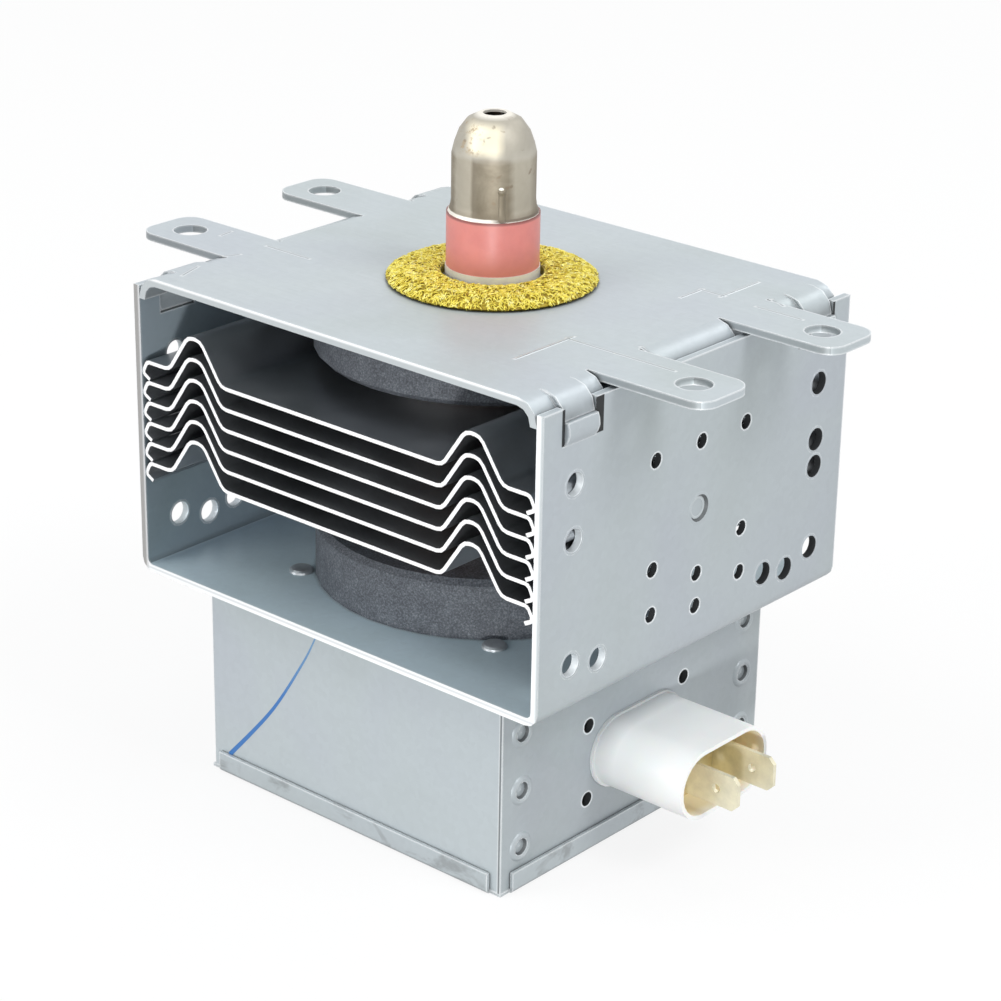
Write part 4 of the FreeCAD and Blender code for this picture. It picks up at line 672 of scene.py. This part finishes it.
def dress_frame():
    """Gives every CAD node its material."""
    # The levels of these copies of one zinc differ part by part as painted light and shade
    dress(["yoke_bracket"], galvanized("galvanized_sheet", 0.76, inner=True, ends=YOKE_ENDS))
    dress(["yoke_plate"], galvanized("galvanized_plate", 0.82, marks=PLATE_MARKS, ends=PLATE_ENDS))
    dress(["filter_box"], galvanized("galvanized_box", 0.81, seam=True))
    dress(["filter_side_panel"], galvanized("galvanized_panel", 0.68, seam=True))
    dress(["filter_lid"], galvanized("galvanized_lid", 0.77, dirty=True))
    dress(["capacitor_plate"], plain_metal("shaded_plate", (0.12, 0.13, 0.135), 0.5, 0.3))
    dress(["cooling_fin_%d" % index for index in range(1, 7)], fin_metal())
    dress(["upper_magnet", "lower_magnet", "choke_core_1", "choke_core_2"], ferrite())
    # The gasket's body is dark: painted shade in the gaps between the wires
    dress(["rf_gasket"],
          knitted_brass("brass_gap_shade", (0.20, 0.13, 0.0), (0.36, 0.26, 0.01), (0.60, 0.48, 0.06)))
    dress(["antenna_cap"], nickel())
    dress(["antenna_seal_cup", "filament_terminal_1", "filament_terminal_2", "lower_sleeve"],
          plain_metal("nickel", (0.66, 0.64, 0.60), 0.28))
    dress(["upper_sleeve"], plain_metal("bright_sleeve", (0.74, 0.745, 0.74), 0.3, 0.2))
    dress(["box_rivets"], plain_metal("rivet_steel", (0.74, 0.75, 0.76), 0.3))
    dress(["upper_pole_piece", "lower_pole_piece"], plain_metal("soft_iron", (0.40, 0.40, 0.41), 0.45))
    dress(["anode_cylinder"], plain_metal("dull_copper", (0.26, 0.15, 0.11), 0.45, 0.6))
    dress(["antenna_lead", "exhaust_tube"]
          + [name for name in nodes if name.startswith(("anode_vane", "strap_ring"))],
          plain_metal("copper", (0.80, 0.44, 0.30), 0.28))
    dress(["choke_coil_1", "choke_coil_2"], plain_metal("enamelled_copper", (0.55, 0.20, 0.08), 0.25, 0.8))
    dress(["cathode_filament", "upper_end_hat", "lower_end_hat", "centre_support_rod", "side_support_rod"],
          plain_metal("tungsten", (0.38, 0.38, 0.39), 0.45))
    dress(["antenna_insulator"],
          ceramic("pink_alumina", (0.68, 0.240, 0.215), (0.61, 0.205, 0.190), line_above=CAP_PROFILE[0][0]))
    dress(["stem_insulator", "capacitor_ceramic"],
          ceramic("white_alumina", (0.88, 0.86, 0.82), (0.80, 0.77, 0.72)))
    dress(["capacitor_shell", "capacitor_inner_shell"], white_plastic())
    dress(["capacitor_epoxy"], epoxy())
    dress(["terminal_tab_front", "terminal_tab_back"],
          plain_metal("tinned_brass", (0.80, 0.755, 0.57), 0.32, 0.4, 0.14))


# Fine pieces

def add_piece(name, vertices, faces, material, smooth=True):
    """A mesh that rides on the object and takes the given material."""
    mesh = bpy.data.meshes.new(name)
    mesh.from_pydata([tuple(value * MM for value in vertex) for vertex in vertices], [], faces)
    mesh.polygons.foreach_set("use_smooth", [smooth] * len(mesh.polygons))
    mesh.materials.append(material)
    made = bpy.data.objects.new(name, mesh)
    scene.collection.objects.link(made)
    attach(made, "root")
    return made


def height_on(profile, place):
    """The second value of a profile at a first value, on straight lines between its points."""
    for (start, low), (end, high) in zip(profile, profile[1:]):
        if place <= end:
            share = (place - start) / (end - start)
            return low + (high - low) * max(0.0, share)
    return profile[-1][1]


def ring_faces(base, levels, sides):
    """Faces between rings of vertices that follow each other from a first vertex on."""
    faces = []
    for level in range(levels):
        low = base + level * sides
        for side in range(sides):
            after = (side + 1) % sides
            faces.append((low + side, low + after, low + sides + after, low + sides + side))
    return faces


# The gasket's wires: how many, half the thickness of each and the straight runs along it
WIRE_COUNT = 3000
WIRE_HALF = 0.14
WIRE_RUNS = 4

# Their turns from straight out and the spread of those, and the ranges of length, bow and lift
WIRE_TURNS = (0.5, -0.5)
WIRE_SPREAD = 0.4
WIRE_LENGTHS = (0.8, 1.5)
WIRE_BOWS = (-0.35, 0.35)
WIRE_LIFTS = (0.02, 0.26)
WIRE_SUNK = 0.03

# What their middles, and all their points, keep clear of at the ring's bore and rim
MIDDLE_MARGINS = (0.2, 0.1)
POINT_MARGINS = (0.1, 0.02)


def knitted_wires():
    """Short bowed lengths of wire that lie across each other over the gasket."""
    source = random.Random(7)
    vertices = []
    faces = []
    inner = GASKET_PROFILE[0][0]
    outer = GASKET_PROFILE[-1][0]
    for _ in range(WIRE_COUNT):
        radius = math.sqrt(source.uniform((inner + MIDDLE_MARGINS[0]) ** 2, (outer - MIDDLE_MARGINS[1]) ** 2))
        angle = source.uniform(0, 2 * math.pi)
        heading = source.choice(WIRE_TURNS) + angle + source.gauss(0, WIRE_SPREAD)
        length = source.uniform(*WIRE_LENGTHS)
        bow = source.uniform(*WIRE_BOWS)
        lift = source.uniform(*WIRE_LIFTS)
        base = len(vertices)
        for step in range(WIRE_RUNS + 1):
            along = (step / WIRE_RUNS - 0.5) * length
            arch = 1 - (2 * step / WIRE_RUNS - 1) ** 2
            aside = bow * arch
            x = radius * math.cos(angle) + along * math.cos(heading) - aside * math.sin(heading)
            y = radius * math.sin(angle) + along * math.sin(heading) + aside * math.cos(heading)
            distance = math.hypot(x, y)
            limit = min(max(distance, inner + POINT_MARGINS[0]), outer - POINT_MARGINS[1])
            x, y = x * limit / distance, y * limit / distance
            z = height_on(GASKET_PROFILE, limit) + lift * arch - WIRE_SUNK
            across = (-math.sin(heading), math.cos(heading))
            for side, rise in ((WIRE_HALF, 0.0), (0.0, WIRE_HALF), (-WIRE_HALF, 0.0), (0.0, -WIRE_HALF)):
                vertices.append((x + across[0] * side, y + across[1] * side, z + rise))
        faces += ring_faces(base, WIRE_RUNS, 4)
    brass = knitted_brass("knitted_brass", (0.52, 0.38, 0.02), (0.92, 0.79, 0.11), (1.0, 0.97, 0.45))
    add_piece("gasket_wires", vertices, faces, brass)


def smooth_path(points, steps):
    """Points on a smooth line through the given ones."""
    padded = [points[0]] + list(points) + [points[-1]]
    result = []
    for a, b, c, d in zip(padded, padded[1:], padded[2:], padded[3:]):
        for step in range(steps):
            t = step / steps
            result.append(tuple(0.5 * (2 * q + (r - p) * t + (2 * p - 5 * q + 4 * r - s) * t ** 2
                                       + (3 * q - p - 3 * r + s) * t ** 3) for p, q, r, s in zip(a, b, c, d)))
    result.append(tuple(points[-1]))
    return result


# The stroke's places on the box, its half width at the start, how much that grows, and its height
PEN_PATH = ((-8.4, -59.7), (-11.8, -66.0), (-19.75, -78.0), (-31.0, -90.9))
PEN_HALF = 0.15
PEN_GROWTH = 0.31
PEN_PROUD = 0.015


def pen_line():
    """The blue stroke on the front of the filter box, heavier towards its lower end."""
    path = smooth_path(PEN_PATH, 12)
    vertices = []
    faces = []
    for index, (x, z) in enumerate(path):
        before = path[max(index - 1, 0)]
        after = path[min(index + 1, len(path) - 1)]
        run = math.hypot(after[0] - before[0], after[1] - before[1])
        across = (-(after[1] - before[1]) / run, (after[0] - before[0]) / run)
        half = PEN_HALF + PEN_GROWTH * (index / len(path)) ** 1.3
        for side in (-half, half):
            vertices.append((x + across[0] * side, BOX_FRONT_Y - PEN_PROUD, z + across[1] * side))
    for index in range(len(path) - 1):
        low = 2 * index
        faces.append((low, low + 1, low + 3, low + 2))
    add_piece("pen_line", vertices, faces, pen_ink())


# The cap's pleat: heights of its ends, its half width, how far it stands out, and the same for its nub
SEAM_FOOT = 12.5
SEAM_TOP = 18.5
SEAM_HALF = 0.62
SEAM_SWELL = 0.17
SEAM_SUNK = 0.06
NUB_HALF = 0.14
NUB_SWELL = 0.30

# Its way along the cap's wall from the middle of that side, and its direction from the axis
SEAM_ASIDE = 1.5
SEAM_ANGLE = math.atan2(OUTWARD[1], OUTWARD[0]) + math.asin(SEAM_ASIDE / CAP_PROFILE[-1][1])

# The shares of its height that the nub takes and that the rounded end takes
NUB_SHARE = 0.2
END_SHARE = 0.1

# The nub's bead: its place, and half its depth, width and height
BEAD_OUT = 7.45
BEAD_TURN = 0.02
BEAD_Z = SEAM_TOP - 0.2
BEAD_HALVES = (0.3, 0.46, 0.32)


def cap_seam():
    """The short pleat at the foot of the cap, rounded off at its top."""
    vertices = []
    faces = []
    levels = 16
    chords = 8
    for level in range(levels + 1):
        share = level / levels
        height = SEAM_FOOT + (SEAM_TOP - SEAM_FOOT) * share
        nub = max(0.0, (share - (1 - NUB_SHARE)) / NUB_SHARE)
        swell = SEAM_SWELL
        if nub > 0:
            swell += NUB_SWELL * math.sin(math.pi * min(1.0, nub * 1.1))
        width = SEAM_HALF + NUB_HALF * math.sin(math.pi * nub)
        end = math.sqrt(max(0.0, 1.0 - max(0.0, (share - (1 - END_SHARE)) / END_SHARE) ** 2))
        for chord in range(chords + 1):
            turn = math.pi * chord / chords
            radius = height_on(CAP_PROFILE, height) - SEAM_SUNK + swell * math.sin(turn) * end
            angle = SEAM_ANGLE + width * math.cos(turn) * (0.4 + 0.6 * end) / radius
            vertices.append((radius * math.cos(angle), radius * math.sin(angle), height))
    for level in range(levels):
        for chord in range(chords):
            low = level * (chords + 1) + chord
            faces.append((low, low + 1, low + chords + 2, low + chords + 1))
    add_piece("cap_seam", vertices, faces, nodes["antenna_cap"].data.materials[0])


def cap_bead():
    """The bright nub at the top of the pleat."""
    vertices = []
    sides = 12
    rows = 8
    depth, width, height = BEAD_HALVES
    for row in range(rows + 1):
        up = math.pi * (row / rows - 0.5)
        for side in range(sides):
            turn = 2 * math.pi * side / sides
            out = BEAD_OUT + depth * math.cos(up) * math.cos(turn)
            angle = SEAM_ANGLE + width * math.cos(up) * math.sin(turn) / BEAD_OUT - BEAD_TURN
            vertices.append((out * math.cos(angle), out * math.sin(angle), BEAD_Z + height * math.sin(up)))
    # A near-white nickel for the bead
    bead_nickel = plain_metal("bright_bead_nickel", (0.95, 0.91, 0.82), 0.4, 0.3)
    add_piece("cap_bead", vertices, ring_faces(0, rows, sides), bead_nickel)


# Sides of the turned rings and of the rivets
RING_SIDES = 24


def turned_rings(name, places, profile, sheet_face, material, side=1.0):
    """Rings with axes along X, as one piece. The profile is radius and height above a face of the sheet."""
    vertices = []
    faces = []
    for y, z in places:
        made = ring_faces(len(vertices), len(profile) - 1, RING_SIDES)
        faces += made if side > 0 else [face[::-1] for face in made]
        for radius, height in profile:
            x = side * (sheet_face + height)
            for step in range(RING_SIDES):
                angle = 2 * math.pi * step / RING_SIDES
                vertices.append((x, y + radius * math.cos(angle), z + radius * math.sin(angle)))
    add_piece(name, vertices, faces, material)


def inscribed(radius, corners):
    """The radius of the circle inside a regular form with its corners on a radius."""
    return radius * math.cos(math.pi / corners)


def hole_edges():
    """Rims and round linings of the punched holes, and the pressed rings beside them. Small and screw rims
    and the front linings are a painted highlight; the other linings, the hollows and the slope are painted
    shade.
    """
    rim = plain_metal("hole_rim", (0.54, 0.59, 0.61), 0.4, 0.2, 0.04)
    # Painted highlight for lit rims and linings
    bright = plain_metal("hole_painted_highlight", (0.74, 0.78, 0.80), 0.4, 0.2, 0.04)
    # Painted shade for the insides of holes and slots
    dark = plain_metal("hole_painted_shade", (0.018, 0.02, 0.022), 0.7, 0.0, 0.2)
    shade = plain_metal("pressed_shade", (0.11, 0.12, 0.125), 0.5, 0.2, 0.1)
    wall = nodes["yoke_bracket"].data.materials[0]
    box = nodes["filter_side_panel"].data.materials[0]

    for label, (radius, corners), narrower, places in (("small", SMALL_HOLE, 0.01, SMALL_HOLES),
                                                       ("large", LARGE_HOLE, 0.2, LARGE_HOLES)):
        bore = inscribed(radius, corners) - narrower
        lip = [(radius + 0.12, -0.02), (radius + 0.06, 0.03), (bore + 0.05, 0.04), (bore, 0.0), (bore, -0.12)]
        tail = [(bore, 0.1 - WALL_SHEET), (bore + 0.05, -0.03 - WALL_SHEET),
                (radius + 0.1, -0.03 - WALL_SHEET), (radius + 0.15, 0.02 - WALL_SHEET)]
        left = [(-y, z) for y, z in places]
        edge = bright if label == "small" else wall
        turned_rings("rims_%s_right" % label, places, lip if label == "small" else lip[:3], WALL_OUT, edge)
        turned_rings("rims_%s_left" % label, left, lip[:-1] + tail, WALL_OUT, edge, -1.0)
        if label == "small":
            turned_rings("linings_small_right", places, lip[-1:] + tail, WALL_OUT, dark)
        else:
            back = [place for place in places if place[0] > 0]
            front = [place for place in places if place[0] < 0]
            turned_rings("linings_large_right", back, lip[2:] + tail, WALL_OUT, dark)
            turned_rings("linings_front_right", front, lip[2:] + tail, WALL_OUT, bright)

    radius, corners = SCREW_HOLE
    bore = inscribed(radius, corners) - 0.01
    lip = [(radius + 0.2, -0.02), (radius + 0.12, 0.03), (bore, 0.03), (bore, -0.05)]
    turned_rings("rims_screw", SCREW_HOLES, lip, PANEL_OUT, bright)
    turned_rings("linings_screw", SCREW_HOLES, [(bore, -0.05), (bore, -1.4)], PANEL_OUT, dark)
    turned_rings("clinch_rings", CLINCHES, CLINCH_RING, PANEL_OUT, box)
    turned_rings("clinch_hollows", CLINCHES, CLINCH_HOLLOW, PANEL_OUT, shade)
    turned_rings("clinch_floors", CLINCHES, CLINCH_FLOOR, PANEL_OUT, box)
    turned_rings("recess_ring", [RECESS], RECESS_RING, WALL_OUT, wall)
    turned_rings("recess_slope", [RECESS], RECESS_SLOPE, WALL_OUT, shade)
    turned_rings("recess_floor", [RECESS], RECESS_FLOOR, WALL_OUT, rim)


# The dark faces that paint the shade of the slots beside a tongue: how far they reach past its sides and
# under it, and off the wall
GAP_OUTSIDE = 0.35
GAP_NEAR_LUG = 1.75
GAP_INSIDE = 0.3
GAP_PROUD = 0.02


def lance_slot_shade():
    """Dark faces painted as the shade in the slots on both sides of each tongue that locks the plate to a
    wall.
    """
    vertices = []
    faces = []
    start, end = LANCE_SIDES
    slots = ((start - GAP_NEAR_LUG, start + GAP_INSIDE), (end - GAP_INSIDE, end + GAP_OUTSIDE))
    for side in (1, -1):
        x = side * (WALL_OUT + GAP_PROUD)
        for sign in (1, -1):
            for near, far in slots:
                low = len(vertices)
                vertices += [(x, sign * near, LANCE_BOTTOM), (x, sign * far, LANCE_BOTTOM),
                             (x, sign * far, LANCE_TOP), (x, sign * near, LANCE_TOP)]
                face = (low, low + 1, low + 2, low + 3)
                faces.append(face if side * sign > 0 else face[::-1])
    add_piece("lance_slot_shade", vertices, faces, bpy.data.materials["hole_painted_shade"], smooth=False)


def round_rivets():
    """The four rivets with round heads."""
    vertices = []
    faces = []
    sides = RING_SIDES
    for x, y in ((-RIVET_X, -RIVET_Y), (RIVET_X, -RIVET_Y), (RIVET_X, RIVET_Y), (-RIVET_X, RIVET_Y)):
        base = len(vertices)
        for radius, height in RIVET_PROFILE[:-1]:
            for side in range(sides):
                angle = 2 * math.pi * side / sides
                vertices.append((x + radius * math.cos(angle), y + radius * math.sin(angle), height))
        vertices.append((x, y, RIVET_PROFILE[-1][1]))
        tip = len(vertices) - 1
        last = len(RIVET_PROFILE) - 2
        faces.append(tuple(base + side for side in range(sides))[::-1])
        faces += ring_faces(base, last, sides)
        for side in range(sides):
            faces.append((base + last * sides + side, base + last * sides + (side + 1) % sides, tip))
    rivets = add_piece("rivets", vertices, faces, plain_metal("rivet_metal", (0.50, 0.53, 0.55), 0.3, 0.8),
                       smooth=False)
    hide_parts("box_rivets")


# Light and floor

# Brightness of the surround from straight down to straight up
SKY = ((0.0, 0.30), (0.46, 0.38), (0.53, 0.70), (0.70, 0.74), (0.85, 0.68), (1.0, 0.66))
SKY_TINT = (0.985, 1.0, 1.01)

# The low part of the surround that is darker: its direction, its width and its height
DIM_SIDE = OUTWARD
DIM_FROM = 0.50
DIM_TO = 0.92
DIM_LOW = 0.40
DIM_HIGH = 0.75
DIM_SHARE = 0.50

# Half the floor's side in metres, and the share of its colour that takes shadow
FLOOR_REACH = 3
FLOOR_MATT = 0.16


# The lamps: name, place, target, size and power, in metres and watts
LAMPS = (
    ("key", (-0.45, -0.55, 1.05), (0.0, 0.0, -0.02), 0.55, 3.2),
    ("front", (-0.55, -1.10, 0.42), (0.0, 0.0, -0.05), 0.5, 4.0),
    ("side", (0.80, 0.10, 0.85), (0.0, 0.0, -0.03), 0.5, 5.0),
    ("back", (0.15, 0.95, 0.85), (0.0, 0.0, -0.01), 0.4, 1.5),
    ("low", (0.36, -0.44, -0.062), (0.045, 0.0, -0.0775), 0.06, 1.5),
)


def pale_floor():
    """A white floor that keeps a faint shadow. It adds no light of its own to the object."""
    mesh = bpy.data.meshes.new("floor")
    corners = [(x * FLOOR_REACH, y * FLOOR_REACH, BASE_Z * MM)
               for x, y in ((-1, -1), (1, -1), (1, 1), (-1, 1))]
    mesh.from_pydata(corners, [], [(0, 1, 2, 3)])
    floor = bpy.data.objects.new("floor", mesh)
    scene.collection.objects.link(floor)
    floor.visible_diffuse = False
    shader = Shader("floor")
    glow = shader.node("ShaderNodeEmission")
    glow.inputs["Color"].default_value = (1.0, 1.0, 1.0, 1.0)
    matt = shader.node("ShaderNodeBsdfDiffuse")
    matt.inputs["Color"].default_value = (0.9, 0.9, 0.9, 1.0)
    both = shader.node("ShaderNodeMixShader")
    both.inputs["Fac"].default_value = FLOOR_MATT
    shader.link(glow.outputs["Emission"], both.inputs[1])
    shader.link(matt.outputs["BSDF"], both.inputs[2])
    shader.link(both.outputs["Shader"], shader.tree.nodes["Material Output"].inputs["Surface"])
    mesh.materials.append(shader.material)


def light_world():
    """A white surround for the camera and a softer, uneven one for the light."""
    world = bpy.data.worlds.new("world")
    scene.world = world
    world.use_nodes = True
    tree = world.node_tree
    tree.nodes.clear()
    made = tree.nodes.new
    link = tree.links.new

    def calculate(operation, first, second):
        step = made("ShaderNodeMath")
        step.operation = operation
        for value, socket in ((first, step.inputs[0]), (second, step.inputs[1])):
            if isinstance(value, float):
                socket.default_value = value
            else:
                link(value, socket)
        return step.outputs[0]

    def stretch(value, low, high, to_low, to_high, kind="SMOOTHSTEP"):
        step = made("ShaderNodeMapRange")
        step.interpolation_type = kind
        link(value, step.inputs["Value"])
        for socket, number in zip(("From Min", "From Max", "To Min", "To Max"), (low, high, to_low, to_high)):
            step.inputs[socket].default_value = number
        return step.outputs["Result"]

    place = made("ShaderNodeTexCoord")
    split = made("ShaderNodeSeparateXYZ")
    link(place.outputs["Generated"], split.inputs[0])
    x, y, z = (split.outputs[axis] for axis in "XYZ")
    height = stretch(z, -1.0, 1.0, 0.0, 1.0, "LINEAR")
    ramp = made("ShaderNodeValToRGB")
    while len(ramp.color_ramp.elements) < len(SKY):
        ramp.color_ramp.elements.new(0.5)
    for element, (position, value) in zip(ramp.color_ramp.elements, SKY):
        element.position = position
        element.color = (*(value * channel for channel in SKY_TINT), 1.0)
    link(height, ramp.inputs["Fac"])
    level = calculate("SQRT", calculate("SUBTRACT", 1.0, calculate("MULTIPLY", z, z)), 0.0)
    toward = calculate("ADD", calculate("MULTIPLY", x, DIM_SIDE[0]), calculate("MULTIPLY", y, DIM_SIDE[1]))
    toward = calculate("DIVIDE", toward, calculate("MAXIMUM", level, 0.01))
    sector = stretch(toward, DIM_FROM, DIM_TO, 0.0, 1.0)
    low = stretch(z, DIM_LOW, DIM_HIGH, 1.0, 0.0)
    dim = calculate("SUBTRACT", 1.0, calculate("MULTIPLY", calculate("MULTIPLY", sector, low), DIM_SHARE))
    lit = made("ShaderNodeBackground")
    link(ramp.outputs["Color"], lit.inputs["Color"])
    link(dim, lit.inputs["Strength"])
    white = made("ShaderNodeBackground")
    white.inputs["Color"].default_value = (1.0, 1.0, 1.0, 1.0)
    rays = made("ShaderNodeLightPath")
    seen = calculate("MAXIMUM", rays.outputs["Is Camera Ray"], rays.outputs["Is Glossy Ray"])
    seen = calculate("MAXIMUM", seen, rays.outputs["Is Transmission Ray"])
    mix = made("ShaderNodeMixShader")
    link(seen, mix.inputs["Fac"])
    link(lit.outputs["Background"], mix.inputs[1])
    link(white.outputs["Background"], mix.inputs[2])
    output = made("ShaderNodeOutputWorld")
    link(mix.outputs["Shader"], output.inputs["Surface"])


def area_light(name, place, target, size, power):
    """A round white lamp at a place, turned to a target. Metres and watts."""
    data = bpy.data.lights.new(name, "AREA")
    data.shape = "DISK"
    data.size = size
    data.energy = power
    made = bpy.data.objects.new(name, data)
    scene.collection.objects.link(made)
    made.rotation_euler = (Vector(target) - Vector(place)).to_track_quat("-Z", "Y").to_euler()
    made.location = place


def light_scene():
    """The surround, the floor and five soft lamps."""
    light_world()
    pale_floor()
    for lamp in LAMPS:
        area_light(*lamp)


place_camera()
dress_frame()
soft_edges()
knitted_wires()
cap_seam()
cap_bead()
hole_edges()
lance_slot_shade()
round_rivets()
pen_line()
light_scene()
scene.view_settings.view_transform = "Standard"
